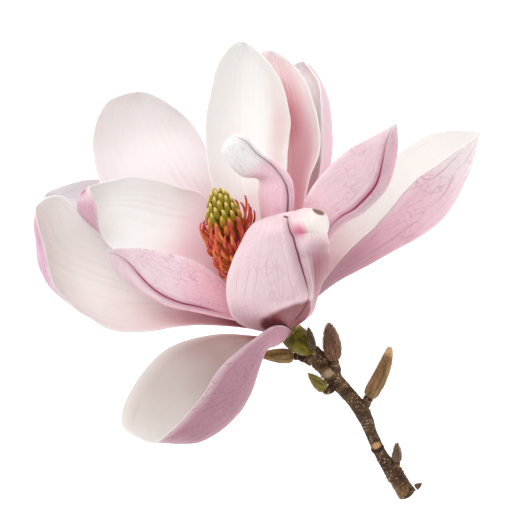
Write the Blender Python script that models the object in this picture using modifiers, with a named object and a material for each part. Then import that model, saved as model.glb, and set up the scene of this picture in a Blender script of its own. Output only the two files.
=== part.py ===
"""A magnolia flower cut with a piece of its twig, lying down on a flat surface.

Thirteen tepals spring from a receptacle that also carries the stamens and the cone of carpels. A short
green peduncle joins the receptacle to the twig, which has seven buds. Sizes in the tables are millimetres:
x to the right and y up the flower as seen from above, z up from the surface. The flower is drawn in that
frame and then shifted so that the middle of its box stands over the origin.
"""

import math
import random
from typing import NamedTuple

import bmesh
import bpy
import numpy as np
from mathutils import Vector

# Driving dimensions, in millimetres
MM = 0.001  # one millimetre in Blender's metres
GAP = 0.3  # clearance between two pieces that touch
BLADE = 0.9  # thickness of a tepal
CLAW_HALF_WIDTH = 2.4  # half the width of a tepal where it leaves the receptacle
BED = BLADE / 2  # height of a blade's middle where it is pressed on the surface
RECEPTACLE_RADIUS = 4.2
RECEPTACLE_LENGTH = 11.0
WHORL_HEIGHTS = (1.4, 4.2, 7.0, 9.8)  # of the claws, along the axis from the receptacle's foot
STAMEN_TOP = 41.0  # where the stamens end along the axis
COLUMN_RADIUS = 3.4  # of the stamens' core
CONE_RADIUS = 4.2  # of the carpels' core, at its foot

PEDUNCLE_RADII = (2.5, 3.8)  # at its foot and under the receptacle
BRACT_SWELL = 0.9  # by how much the bract swells the peduncle halfway up

# Faceting
BLADE_ROWS = 15
BLADE_COLUMNS = 8
ROW_CROWDING = 1.25  # above 1, a blade's rows stand closer near its tip
AXIS_SAMPLES = 200
STEM_SIDES = 12  # of the receptacle, the peduncle and the cores
TWIG_SIDES = 10
TWIG_RINGS = 41
SPUR_SIDES = 8
SPUR_RINGS = 5
BUD_RINGS = 8
BUD_SIDES = 8
STRAP_SIDES = 4  # of a stamen and a style
CORE_RINGS = 7
PEDUNCLE_RINGS = 9

# The flower's axis from the receptacle's foot to the tip of the cone of carpels
AXIS = ((10.5, -24.0, 29.5), (1.5, -12.5, 36.0), (-5.5, -1.5, 42.5), (-9.5, 10.0, 49.0), (-12.0, 20.5, 54.0))

# The twig's middle line from its cut end up to the peduncle, and its radius at each point
TWIG = (
    (49.5, -78.0, 2.55), (44.5, -70.0, 7.0), (41.0, -65.0, 9.0), (37.5, -57.5, 12.0), (35.0, -51.5, 15.0),
    (31.0, -46.0, 17.5), (26.0, -40.5, 20.5), (21.5, -35.0, 23.5), (18.0, -31.0, 25.5),
)
TWIG_RADII = (3.0, 2.7, 2.0, 1.9, 2.5, 2.3, 2.6, 2.8, 2.8)
RING_SCARS = (0.7, 6.3, 6.6, 7.1, 7.5)  # where the bark is ringed, counted in the points of TWIG
RING_HEIGHT = 0.35
RING_WIDTH = 0.09
SPUR_NECK = 0.5  # length of the straight end of a bud's spur
SPUR_FLARE = 1.3  # how much thicker a spur is on the twig than under its bud


class Tepal(NamedTuple):
    """One tepal: where it leaves the receptacle, and its shape.

    Each row crosses the blade from one margin to the other, the way azimuth grows at the claw, and the rows
    climb from the claw to the tip. Azimuth is counted round the axis from the side nearest the sky, in
    degrees. Point is 0 for a round tip and 1 for a pointed one.
    """

    whorl: int
    azimuth: float
    point: float
    rows: tuple
    tip: tuple
    colour: tuple


class Bud(NamedTuple):
    """One bud: its spur on the twig, its foot and tip, its radii, and the powers that shape its outline.

    Bluntness below 1 rounds the outline's ends. Fullness above 1 moves its widest place towards the tip.
    """

    spur: tuple
    foot: tuple
    tip: tuple
    radius: float
    spur_radius: float
    bluntness: float
    fullness: float
    colour: tuple


WHITE = (0.86, 0.82, 0.78)
BLUSH = (0.84, 0.66, 0.69)
ROSE = (0.78, 0.46, 0.55)

TEPALS = {
    "tepal_upper_left": Tepal(
        1, 190, 0.0,
        (
            ((-8.0, 16.5, 19.0), (-17.5, 10.0, 13.0), (-29.5, 3.5, 19.0)),
            ((-14.5, 29.5, 14.0), (-30.0, 25.5, 8.5), (-47.0, 16.5, 16.0)),
            ((-19.0, 40.5, 13.0), (-37.0, 38.0, 5.5), (-53.0, 34.5, 14.0)),
            ((-28.5, 50.0, 15.0), (-39.5, 48.5, 8.5), (-49.5, 48.5, 16.0)),
        ),
        (-38.5, 53.5, 14.0), WHITE,
    ),
    "tepal_top": Tepal(
        2, 158, 0.1,
        (
            ((9.0, 16.5, 32.0), (-2.0, 16.5, 23.5), (-12.0, 16.5, 31.5)),
            ((10.0, 31.0, 29.0), (-3.0, 34.5, 17.0), (-16.0, 34.0, 26.5)),
            ((11.0, 44.5, 26.5), (-3.0, 49.0, 14.0), (-15.5, 48.5, 24.5)),
            ((7.0, 57.5, 23.5), (-3.0, 62.0, 15.0), (-12.0, 62.5, 22.5)),
        ),
        (-4.0, 69.5, 19.0), WHITE,
    ),
    "tepal_top_right": Tepal(
        1, 129, 0.1,
        (
            ((16.0, 19.5, 25.5), (10.0, 18.0, 13.0), (2.0, 16.5, 20.5)),
            ((20.5, 34.0, 25.5), (10.5, 34.5, 8.5), (-1.5, 34.5, 14.0)),
            ((19.0, 48.0, 22.5), (9.0, 50.0, 7.5), (-2.0, 51.0, 11.5)),
            ((13.5, 60.5, 16.0), (6.5, 61.5, 8.5), (-1.5, 63.5, 10.5)),
        ),
        (5.0, 67.0, 11.5), ROSE,
    ),
    "tepal_back_right": Tepal(
        0, 155, 0.3,
        (
            ((19.5, 21.5, 23.5), (20.5, 18.5, 5.5), (9.5, 16.5, 7.5)),
            ((21.0, 34.0, 23.5), (23.5, 35.0, 2.0), (8.5, 35.0, 3.0)),
            ((21.0, 50.5, 19.5), (22.5, 48.5, 1.5), (8.0, 49.5, 2.0)),
            ((19.5, 58.0, 12.0), (18.5, 60.0, 2.0), (10.5, 61.0, 2.5)),
        ),
        (15.5, 64.0, 4.5), BLUSH,
    ),
    "tepal_mid_left": Tepal(
        2, 220, 0.3,
        (
            (
                (-13.5, 16.0, 23.0), (-15.0, 11.5, 21.5), (-17.0, 6.5, 22.0),
                (-19.0, 1.0, 25.0), (-21.0, -5.0, 31.0),
            ),
            (
                (-26.0, 22.5, 22.5), (-28.5, 18.0, 19.0), (-31.5, 11.0, 18.0),
                (-34.5, 4.5, 21.0), (-37.5, -1.5, 27.5),
            ),
            (
                (-39.0, 25.5, 21.5), (-42.0, 20.0, 18.5), (-44.5, 14.5, 18.0),
                (-46.5, 8.5, 20.0), (-47.0, 3.0, 26.0),
            ),
            (
                (-48.0, 24.0, 22.0), (-52.5, 18.0, 19.0), (-55.0, 14.0, 20.5),
                (-54.0, 11.0, 25.0), (-50.5, 9.5, 28.0),
            ),
            (
                (-51.5, 23.0, 24.5), (-55.5, 20.5, 22.5), (-57.0, 18.0, 24.0),
                (-55.5, 16.5, 28.0), (-51.0, 16.0, 30.0),
            ),
        ),
        (-53.5, 22.0, 27.5), WHITE,
    ),
    "tepal_left_back": Tepal(
        0, 212, 0.2,
        (
            ((-13.5, 11.0, 8.5), (-18.5, 3.5, 4.5), (-21.5, -6.0, 8.5)),
            ((-33.0, 21.0, 4.0), (-40.0, 10.0, 0.3), (-44.5, -2.0, 3.0)),
            ((-49.5, 25.0, 4.5), (-56.5, 17.0, 0.3), (-61.0, 7.0, 2.5)),
            ((-59.5, 24.0, 5.5), (-65.0, 18.5, 2.0), (-68.5, 14.5, 4.0)),
        ),
        (-69.0, 20.5, 4.0), WHITE,
    ),
    "tepal_left_outer": Tepal(
        1, 251, 0.3,
        (
            ((-15.5, -9.5, 26.5), (-16.5, -15.0, 22.5), (-18.0, -22.0, 30.0)),
            ((-37.5, 0.5, 21.5), (-45.5, -12.5, 16.0), (-45.0, -24.0, 28.5)),
            ((-53.0, 10.0, 19.5), (-67.8, -3.2, 12.5), (-62.5, -12.0, 27.5)),
            ((-62.5, 19.5, 20.5), (-70.6, 8.0, 17.2), (-68.3, 3.5, 26.5)),
        ),
        (-71.0, 16.0, 22.5), WHITE,
    ),
    "tepal_left_inner": Tepal(
        2, 290, 0.6,
        (
            ((-16.5, -18.0, 34.0), (-18.0, -15.0, 40.5), (-15.0, -4.0, 42.5)),
            ((-31.5, -14.5, 32.0), (-30.5, -11.0, 38.5), (-28.0, 1.0, 40.5)),
            ((-43.0, -7.0, 30.0), (-40.0, -3.0, 35.5), (-39.5, 2.5, 37.5)),
        ),
        (-48.5, 1.5, 33.0), BLUSH,
    ),
    "tepal_bottom": Tepal(
        0, 340, 0.0,
        (
            ((2.5, -25.8, 34.8), (7.0, -27.8, 42.0), (6.0, -21.9, 50.5)),
            ((-13.0, -25.0, 35.0), (1.5, -30.5, 39.0), (-1.0, -26.5, 50.0)),
            ((-29.0, -30.0, 35.0), (-2.5, -42.5, 39.0), (-10.5, -34.0, 53.0)),
            ((-40.0, -43.0, 35.0), (-9.5, -52.5, 39.0), (-17.0, -44.0, 53.0)),
            ((-42.5, -54.0, 38.0), (-19.5, -58.5, 42.0), (-26.5, -55.0, 50.0)),
        ),
        (-33.5, -59.0, 45.0), BLUSH,
    ),
    "tepal_right_outer": Tepal(
        0, 94, 0.6,
        (
            ((26.0, -2.0, 42.5), (24.0, -9.0, 28.0), (19.0, -2.0, 28.0)),
            ((37.5, 9.5, 46.0), (42.5, 1.5, 28.0), (28.5, 16.5, 26.5)),
            ((48.0, 22.0, 48.0), (59.0, 12.0, 30.0), (41.5, 29.0, 28.0)),
            ((60.0, 31.0, 48.0), (67.5, 27.0, 35.5), (55.5, 39.0, 34.0)),
        ),
        (70.5, 39.0, 45.0), BLUSH,
    ),
    "tepal_right_inner": Tepal(
        2, 10, 0.8,
        (
            ((14.0, 13.0, 50.0), (22.0, 7.5, 56.5), (25.0, 7.5, 51.5)),
            ((19.5, 24.0, 48.0), (31.5, 15.5, 56.5), (34.0, 14.5, 52.5)),
            ((28.5, 33.0, 48.0), (38.0, 23.0, 57.5), (41.5, 23.0, 53.5)),
            ((36.5, 37.5, 51.5), (41.0, 33.5, 57.5), (44.5, 33.0, 53.5)),
        ),
        (44.0, 41.5, 54.5), BLUSH,
    ),
    "tepal_front": Tepal(
        1, 337, 0.0,
        (
            (
                (-5.0, -21.5, 40.0), (2.0, -22.0, 42.5), (9.0, -21.5, 42.5),
                (14.0, -20.5, 42.0), (17.5, -18.5, 40.5),
            ),
            (
                (-9.0, -15.0, 49.0), (0.5, -15.5, 58.0), (14.5, -13.5, 62.0),
                (17.5, -13.0, 60.0), (19.5, -11.5, 54.0),
            ),
            (
                (-9.0, -7.0, 54.0), (2.0, -6.0, 64.0), (14.0, -5.0, 68.0),
                (18.5, -4.5, 66.0), (22.5, -3.0, 60.0),
            ),
            ((-6.0, 1.0, 58.0), (3.0, 2.5, 67.0), (12.5, 2.5, 71.0), (18.0, 3.0, 70.5), (22.5, 2.5, 63.0)),
            ((-2.0, 8.5, 60.0), (4.0, 8.0, 68.0), (10.5, 7.5, 71.0), (17.0, 8.5, 73.0), (23.0, 8.0, 66.0)),
            (
                (2.0, 11.5, 59.0), (6.0, 12.0, 62.0), (10.0, 12.0, 65.0),
                (15.5, 14.0, 68.0), (21.0, 14.0, 64.0),
            ),
        ),
        (13.0, 14.0, 61.0), BLUSH,
    ),
    "tepal_centre_inner": Tepal(
        3, 345, 0.1,
        (
            ((3.0, -6.5, 42.5), (4.2, -6.5, 45.2), (6.0, -6.5, 46.8), (7.7, -6.0, 46.8), (8.6, -6.2, 44.4)),
            ((2.6, 4.0, 47.5), (4.2, 4.3, 50.6), (6.6, 5.0, 52.8), (9.6, 6.0, 53.4), (10.9, 6.0, 50.6)),
            ((1.6, 12.8, 50.8), (4.0, 13.3, 54.0), (7.0, 14.2, 56.4), (10.5, 15.0, 57.2), (11.8, 15.0, 54.0)),
            ((0.9, 19.1, 51.5), (3.5, 19.6, 55.5), (7.0, 20.3, 57.8), (10.3, 20.7, 58.3), (11.6, 21.9, 55.0)),
            ((0.9, 24.1, 52.5), (3.2, 24.2, 56.0), (6.0, 24.4, 58.0), (8.5, 24.7, 58.8), (10.3, 25.6, 55.8)),
            (
                (-4.1, 25.0, 56.5), (-1.2, 26.2, 58.3), (2.2, 27.8, 59.2),
                (5.0, 28.9, 59.6), (6.3, 29.3, 57.0),
            ),
            (
                (-7.5, 27.6, 59.2), (-4.5, 29.0, 60.6), (-1.6, 30.8, 61.0),
                (0.6, 31.9, 60.8), (1.7, 32.5, 58.5),
            ),
            (
                (-9.7, 30.7, 61.0), (-7.2, 32.0, 62.3), (-4.5, 34.0, 62.8),
                (-2.6, 35.3, 62.2), (-1.4, 35.6, 60.0),
            ),
            (
                (-10.6, 33.2, 61.6), (-9.0, 34.2, 62.3), (-6.8, 35.4, 62.8),
                (-5.0, 36.6, 62.4), (-3.4, 37.6, 61.0),
            ),
        ),
        (-8.0, 37.4, 61.4), BLUSH,
    ),
}

BUDS = {
    "bud_furry": Bud(
        (25.7, -37.0, 21.5), (25.2, -33.5, 25.7), (23.4, -21.8, 28.4), 2.8, 1.4, 0.55, 1.0, (0.42, 0.36, 0.27)
    ),
    "bud_long": Bud(
        (34.5, -49.5, 15.0), (36.7, -45.5, 17.5), (43.4, -29.3, 22.5), 2.4, 1.5, 0.3, 1.05, (0.40, 0.33, 0.22)
    ),
    "bud_green": Bud(
        (26.2, -40.5, 20.3), (22.0, -42.8, 23.6), (16.9, -37.9, 26.7), 1.8, 1.2, 0.5, 0.8, (0.35, 0.37, 0.20)
    ),
    "bud_low": Bud(
        (45.0, -71.0, 6.5), (46.0, -67.0, 9.5), (46.0, -61.0, 12.0), 1.4, 1.1, 0.5, 0.9, (0.30, 0.22, 0.16)
    ),
    "bud_top": Bud(
        (20.5, -34.0, 25.5), (18.3, -29.8, 30.5), (16.7, -22.8, 34.0), 1.2, 0.7, 0.5, 0.9, (0.26, 0.22, 0.14)
    ),
    "bud_left": Bud(
        (18.0, -34.0, 24.0), (12.0, -32.3, 22.8), (0.8, -31.9, 25.2), 2.3, 1.2, 0.5, 0.8, (0.55, 0.47, 0.30)
    ),
    "bud_end": Bud(
        (49.5, -75.0, 5.0), (52.3, -76.0, 5.2), (54.5, -74.5, 5.2), 0.9, 0.8, 0.6, 0.8, (0.36, 0.22, 0.12)
    ),
}

# Stamens and carpels
SEED = 7
STAMEN_RINGS = 8
STAMENS_A_RING = 11
STAMEN_RADIUS = 0.6
STAMEN_FOOT = 22.6  # height of the lowest ring along the axis
STAMEN_LENGTH = 12.0
STAMEN_LEANS = (66.0, 46.0)  # of the lowest and the highest ring away from the axis, in degrees
STAMEN_BENDS = (8.0, -20.0, -45.0)  # added to the lean, piece by piece
TUFT_AZIMUTH = 80.0  # the side where the highest stamens stand erect
TUFT_BENDS = (4.0, -16.0, -24.0)  # in place of STAMEN_BENDS there
STAMEN_RUNS = (0.36, 0.38, 0.26)  # the pieces' shares of the length
STAMEN_TAPER = (1.0, 1.0, 0.95, 0.5)
STAMEN_HEADROOM = 3.0  # from the highest ring to the end of the core
STAMEN_ROOT = 1.2  # how deep a stamen is set in its core
STAMEN_STRAY = 6.0  # how far a stamen may stand off its place in the ring, in degrees
STAMEN_TWIST = 0.25
CARPELS = 54
CARPEL_TURN = 137.5  # degrees from one carpel to the next
CARPEL_RADIUS = 0.9
CARPEL_FOOT = 1.2  # height of the lowest carpel above the cone's foot
CARPEL_STRAY = 5.0
CONE_TAPER = 0.7  # share of the cone's radius that is gone at its tip
STYLE_PATH = ((-0.9, 0.0), (0.7, 1.4), (1.3, 3.0), (0.5, 4.2))  # a style's way outward and upward
STYLE_TAPER = (1.0, 1.0, 0.7, 0.35)
STYLE_STRAY = 0.5  # how far a style's tip leans aside
CONE_HEADROOM = 3.0  # from the core's end to the tips of the highest styles
STYLE_CLOSING = 0.45  # how much closer to the cone the highest styles stay


def clear_scene():
    """Removes the objects that the scene starts with."""
    for thing in list(bpy.data.objects):
        bpy.data.objects.remove(thing, do_unlink=True)


def spline(points, places):
    """Reads a Catmull-Rom curve; points[0] and points[-1] only steer its ends.

    Place 0 is at points[1], and each whole number is at the next point.
    """
    points = np.asarray(points, float)
    last = len(points) - 4
    found = []
    for place in np.atleast_1d(places):
        k = int(min(max(math.floor(place), 0), last))
        t = place - k
        a, b, c, d = points[k : k + 4]
        straight, bend, turn = c - a, 2 * a - 5 * b + 4 * c - d, 3 * b - a - 3 * c + d
        found.append(0.5 * (2 * b + straight * t + bend * t**2 + turn * t**3))
    return np.array(found)


def steered(points):
    """Adds the two steering points that make the spline's ends run on as parabolas."""
    points = [np.asarray(p, float) for p in points]
    first = 3 * points[0] - 3 * points[1] + points[2]
    last = 3 * points[-1] - 3 * points[-2] + points[-3]
    return [first, *points, last]


def unit(vector):
    """The vector at length 1."""
    return vector / np.linalg.norm(vector)


class Axis:
    """The flower's axis, measured in millimetres along its curve."""

    def __init__(self, points):
        self.curve = spline(steered(points), np.linspace(0, len(points) - 1, AXIS_SAMPLES))
        steps = np.linalg.norm(np.diff(self.curve, axis=0), axis=1)
        self.along = np.concatenate([[0.0], np.cumsum(steps)])
        self.length = float(self.along[-1])

    def point(self, height):
        """The axis's point at a height along it; below 0 and past its end it runs on straight."""
        inside = min(max(height, 0.0), self.length)
        found = np.array([np.interp(inside, self.along, self.curve[:, k]) for k in range(3)])
        return found + (height - inside) * self.tangent(inside)

    def tangent(self, height):
        """The axis's direction at a height."""
        k = int(np.clip(np.searchsorted(self.along, height), 2, AXIS_SAMPLES - 3))
        return unit(self.curve[k + 2] - self.curve[k - 2])

    def spoke(self, height, azimuth):
        """The outward direction at an azimuth in degrees, and the direction in which azimuth grows."""
        up = self.tangent(height)
        front = unit(np.array([0.0, 0.0, 1.0]) - up[2] * up)
        right = np.cross(up, front)
        angle = math.radians(azimuth)
        outward = math.cos(angle) * front + math.sin(angle) * right
        return outward, math.cos(angle) * right - math.sin(angle) * front


def claw_row(axis, tepal, columns):
    """The tepal's first row, curved round the receptacle at its socket."""
    height = WHORL_HEIGHTS[tepal.whorl]
    radius = RECEPTACLE_RADIUS + GAP + BLADE / 2
    sweep = math.degrees(CLAW_HALF_WIDTH / radius)
    row = []
    for across in np.linspace(-1, 1, columns):
        outward, _ = axis.spoke(height, tepal.azimuth + across * sweep)
        row.append(axis.point(height) + radius * outward)
    return row


def tepal_points(axis, tepal, rows, columns):
    """The blade's middle surface as an array of (rows + 1) by (columns + 1) points, from claw to tip."""
    drawn = [[np.array(p) for p in row] for row in tepal.rows]
    count = len(drawn[0])
    drawn.insert(0, claw_row(axis, tepal, count))
    tip = np.array(tepal.tip)
    final = drawn[-1]
    rails = []
    places = len(drawn) * (1 - (1 - np.linspace(0, 1, rows + 1)) ** ROW_CROWDING)
    for k in range(count):
        side = (1 - tepal.point) * abs(2 * k / (count - 1) - 1)
        past = side * final[count - 1 - k] + (1 - side) * (2 * tip - final[k if tepal.point else count // 2])
        points = [row[k] for row in drawn] + [tip]
        rails.append(spline([3 * points[0] - 3 * points[1] + points[2], *points, past], places))
    across = np.linspace(0, count - 1, columns + 1)
    surface = np.array([spline(steered([rail[k] for rail in rails]), across) for k in range(rows + 1)])
    surface[..., 2] = np.maximum(surface[..., 2], BED)
    return surface


def link(thing, collection, colour, roughness):
    """Puts an object in a collection and gives it a material of its own."""
    collection.objects.link(thing)
    material = bpy.data.materials.new(thing.name)
    material.use_nodes = True
    shader = material.node_tree.nodes["Principled BSDF"]
    shader.inputs["Base Color"].default_value = (*colour, 1.0)
    shader.inputs["Roughness"].default_value = roughness
    shader.inputs["Metallic"].default_value = 0.0
    thing.data.materials.clear()
    thing.data.materials.append(material)
    return thing


def make_tepal(name, tepal, axis, collection):
    """Shapes a grid into the blade, then gives it its thickness."""
    points = tepal_points(axis, tepal, BLADE_ROWS, BLADE_COLUMNS).reshape(-1, 3)
    shape = bmesh.new()
    bmesh.ops.create_grid(shape, x_segments=BLADE_COLUMNS, y_segments=BLADE_ROWS, size=1.0)
    shape.verts.ensure_lookup_table()
    for vert, point in zip(shape.verts, points):
        vert.co = Vector(point) * MM
    bmesh.ops.remove_doubles(shape, verts=shape.verts, dist=0.02 * MM)
    mesh = bpy.data.meshes.new(name)
    shape.to_mesh(mesh)
    shape.free()
    blade = bpy.data.objects.new(name, mesh)
    link(blade, collection, tepal.colour, 0.55)
    blade.modifiers.new("Triangles", "TRIANGULATE")
    wall = blade.modifiers.new("Wall", "SOLIDIFY")
    wall.thickness = BLADE * MM
    wall.offset = 0.0
    mesh.shade_smooth()
    return blade


def tube(name, points, radii, sides):
    """A closed tube of changing radius along a line of points, as a mesh object.

    The tube is drawn as a curve with filled caps, then made a mesh with the caps welded on.
    """
    curve = bpy.data.curves.new(name, "CURVE")
    curve.dimensions = "3D"
    curve.bevel_depth = MM
    curve.bevel_resolution = (sides - 4) // 2
    curve.use_fill_caps = True
    line = curve.splines.new("POLY")
    line.points.add(len(points) - 1)
    for knot, point, radius in zip(line.points, points, radii):
        knot.co = (*(Vector(point) * MM), 1.0)
        knot.radius = radius
    drawn = bpy.data.objects.new(name, curve)
    bpy.context.scene.collection.objects.link(drawn)
    seen = drawn.evaluated_get(bpy.context.evaluated_depsgraph_get())
    mesh = bpy.data.meshes.new_from_object(seen)
    shape = bmesh.new()
    shape.from_mesh(mesh)
    bmesh.ops.remove_doubles(shape, verts=shape.verts, dist=0.001 * MM)
    bmesh.ops.recalc_face_normals(shape, faces=shape.faces)
    shape.to_mesh(mesh)
    shape.free()
    bpy.data.objects.remove(drawn, do_unlink=True)
    mesh.name = name
    return bpy.data.objects.new(name, mesh)


def drop_scraps(mesh):
    """Keeps only the largest body of a mesh."""
    shape = bmesh.new()
    shape.from_mesh(mesh)
    bodies = []
    left = set(shape.verts)
    while left:
        edge = [left.pop()]
        body = set(edge)
        while edge:
            vert = edge.pop()
            for near in (link.other_vert(vert) for link in vert.link_edges):
                if near in left:
                    left.remove(near)
                    body.add(near)
                    edge.append(near)
        bodies.append(body)
    bodies.sort(key=len)
    for body in bodies[:-1]:
        bmesh.ops.delete(shape, geom=list(body), context="VERTS")
    shape.to_mesh(mesh)
    shape.free()


def fuse(core, repeats, solver):
    """Joins the repeats to the core by one Boolean union and removes them."""
    group = bpy.data.collections.new(core.name + "_repeats")
    bpy.context.scene.collection.children.link(group)
    for thing in repeats:
        group.objects.link(thing)
    bpy.context.scene.collection.objects.link(core)
    union = core.modifiers.new("Union", "BOOLEAN")
    union.operation = "UNION"
    union.operand_type = "COLLECTION"
    union.collection = group
    union.solver = solver
    seen = core.evaluated_get(bpy.context.evaluated_depsgraph_get())
    mesh = bpy.data.meshes.new_from_object(seen)
    drop_scraps(mesh)
    core.modifiers.clear()
    core.data = mesh
    bpy.context.scene.collection.objects.unlink(core)
    for thing in repeats:
        bpy.data.objects.remove(thing, do_unlink=True)
    bpy.data.collections.remove(group)
    return core


def make_receptacle(axis, collection):
    """The swollen end of the peduncle that carries the tepals."""
    heights = np.linspace(0, RECEPTACLE_LENGTH, CORE_RINGS)
    radii = RECEPTACLE_RADIUS + (COLUMN_RADIUS - RECEPTACLE_RADIUS) * (heights / RECEPTACLE_LENGTH) ** 3
    body = tube("receptacle", [axis.point(h) for h in heights], radii, STEM_SIDES)
    link(body, collection, (0.55, 0.50, 0.30), 0.6)


def make_stamens(axis, collection):
    """The stamens: rings of narrow straps that spread from their core and curl in, fused into it."""
    draw = random.Random(SEED)
    foot = RECEPTACLE_LENGTH + GAP
    heights = np.linspace(foot, STAMEN_TOP, CORE_RINGS)
    core = tube("stamens", [axis.point(h) for h in heights], [COLUMN_RADIUS] * CORE_RINGS, STEM_SIDES)
    straps = []
    for ring in range(STAMEN_RINGS):
        climb = ring / (STAMEN_RINGS - 1)
        height = STAMEN_FOOT + climb * (STAMEN_TOP - STAMEN_HEADROOM - STAMEN_FOOT)
        lean = math.radians(STAMEN_LEANS[0] + climb * (STAMEN_LEANS[1] - STAMEN_LEANS[0]))
        for step in range(STAMENS_A_RING):
            azimuth = 360.0 * (step + 0.5 * (ring % 2)) / STAMENS_A_RING + STAMEN_STRAY * draw.uniform(-1, 1)
            tuft = climb * max(0.0, math.cos(math.radians(azimuth - TUFT_AZIMUTH)))
            length = STAMEN_LENGTH * (0.5 + 0.4 * climb + 0.25 * tuft) * draw.uniform(0.85, 1.1)
            outward, sideways = axis.spoke(height, azimuth)
            up = axis.tangent(height)
            root = axis.point(height) + (COLUMN_RADIUS - STAMEN_ROOT) * outward
            twist = STAMEN_TWIST * draw.uniform(-1, 1)
            path = [root]
            for curl, erect, run in zip(STAMEN_BENDS, TUFT_BENDS, STAMEN_RUNS):
                bend = (1 - tuft) * curl + tuft * erect
                angle = lean + math.radians(bend) * draw.uniform(0.7, 1.3)
                stride = math.sin(angle) * outward + math.cos(angle) * up + twist * sideways
                path.append(path[-1] + run * length * unit(stride))
            radii = [STAMEN_RADIUS * share for share in STAMEN_TAPER]
            straps.append(tube(f"stamen_{ring}_{step}", path, radii, STRAP_SIDES))
    link(fuse(core, straps, "MANIFOLD"), collection, (0.55, 0.12, 0.07), 0.5)


def make_gynoecium(axis, collection):
    """The cone of carpels: a tapered core with a spiral of pointed, curled styles fused into it."""
    draw = random.Random(SEED + 1)
    foot = STAMEN_TOP + GAP
    top = axis.length - CONE_HEADROOM
    heights = np.linspace(foot, top, CORE_RINGS)
    radii = CONE_RADIUS * (1 - CONE_TAPER * ((heights - foot) / (top - foot)) ** 2)
    core = tube("gynoecium", [axis.point(h) for h in heights], radii, STEM_SIDES)
    styles = []
    for k in range(CARPELS):
        climb = k / (CARPELS - 1)
        height = foot + CARPEL_FOOT + climb * (top - foot - CARPEL_FOOT - GAP)
        outward, sideways = axis.spoke(height, k * CARPEL_TURN + CARPEL_STRAY * draw.uniform(-1, 1))
        up = axis.tangent(height)
        surface = axis.point(height) + CONE_RADIUS * (1 - CONE_TAPER * climb**2) * outward
        spread = 1.0 - STYLE_CLOSING * climb
        path = [surface + spread * out * outward + rise * up for out, rise in STYLE_PATH]
        path[-1] += STYLE_STRAY * draw.uniform(-1, 1) * sideways
        radii = [CARPEL_RADIUS * share for share in STYLE_TAPER]
        styles.append(tube(f"carpel_{k}", path, radii, STRAP_SIDES))
    link(fuse(core, styles, "MANIFOLD"), collection, (0.42, 0.42, 0.07), 0.45)


def arc(start, leave, end, arrive, count):
    """Points along a smooth arc that leaves and arrives in the given directions."""
    start, end = np.array(start), np.array(end)
    reach = np.linalg.norm(end - start)
    t = np.linspace(0, 1, count)[:, None]
    return (
        (2 * t**3 - 3 * t**2 + 1) * start
        + (t**3 - 2 * t**2 + t) * reach * unit(np.array(leave))
        + (3 * t**2 - 2 * t**3) * end
        + (t**3 - t**2) * reach * unit(np.array(arrive))
    )


def make_twig(collection):
    """The twig with its ring scars, and a spur under each bud."""
    places = np.linspace(0, len(TWIG) - 1, TWIG_RINGS)
    radii = []
    for place in places:
        plain = np.interp(place, range(len(TWIG_RADII)), TWIG_RADII)
        scars = sum(math.exp(-(((place - ring) / RING_WIDTH) ** 2)) for ring in RING_SCARS)
        radii.append(plain + RING_HEIGHT * scars)
    core = tube("twig", spline(steered(TWIG), places), radii, TWIG_SIDES)
    spurs = []
    for name, bud in BUDS.items():
        toward = unit(np.array(bud.tip) - np.array(bud.foot))
        root = np.array(bud.spur)
        end = np.array(bud.foot) - GAP * toward
        neck = end - SPUR_NECK * toward
        points = [*arc(root, neck - root, neck, toward, SPUR_RINGS), end]
        radii = bud.spur_radius * np.linspace(SPUR_FLARE, 1.0, len(points))
        spurs.append(tube(name + "_spur", points, radii, SPUR_SIDES))
    link(fuse(core, spurs, "EXACT"), collection, (0.23, 0.13, 0.08), 0.7)


def make_bud(name, bud, collection):
    """A bud as a turned, pointed egg on its spur."""
    foot = Vector(bud.foot)
    toward = Vector(bud.tip) - foot
    profile = [(0.0, toward.length)]
    for share in np.linspace(1, 0, BUD_RINGS)[1:]:
        swell = math.sin(math.pi * share**bud.fullness) ** bud.bluntness if share > 0 else 0.0
        flare = bud.spur_radius * (1 - share)
        profile.append((flare + (bud.radius - 0.5 * bud.spur_radius) * swell, toward.length * share))
    profile.append((0.0, 0.0))
    shape = bmesh.new()
    outline = [shape.verts.new((r * MM, 0.0, z * MM)) for r, z in profile]
    for a, b in zip(outline, outline[1:]):
        shape.edges.new((a, b))
    mesh = bpy.data.meshes.new(name)
    shape.to_mesh(mesh)
    shape.free()
    thing = link(bpy.data.objects.new(name, mesh), collection, bud.colour, 0.8)
    thing.location = foot * MM
    thing.rotation_mode = "QUATERNION"
    thing.rotation_quaternion = toward.to_track_quat("Z", "Y")
    turn = thing.modifiers.new("Turn", "SCREW")
    turn.steps = BUD_SIDES
    turn.render_steps = BUD_SIDES
    turn.use_merge_vertices = True
    turn.merge_threshold = 0.01 * MM
    return thing


def make_peduncle(axis, collection):
    """The short green stalk under the flower, swollen by its bract."""
    leave = unit(np.array(TWIG[-1]) - np.array(TWIG[-2]))
    points = arc(np.array(TWIG[-1]) + GAP * leave, leave, axis.point(-GAP), axis.tangent(0), PEDUNCLE_RINGS)
    climb = np.linspace(0, 1, PEDUNCLE_RINGS)
    radii = np.interp(climb, (0, 1), PEDUNCLE_RADII) + BRACT_SWELL * np.sin(math.pi * climb)
    link(tube("peduncle", points, radii, STEM_SIDES), collection, (0.36, 0.40, 0.12), 0.5)


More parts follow.
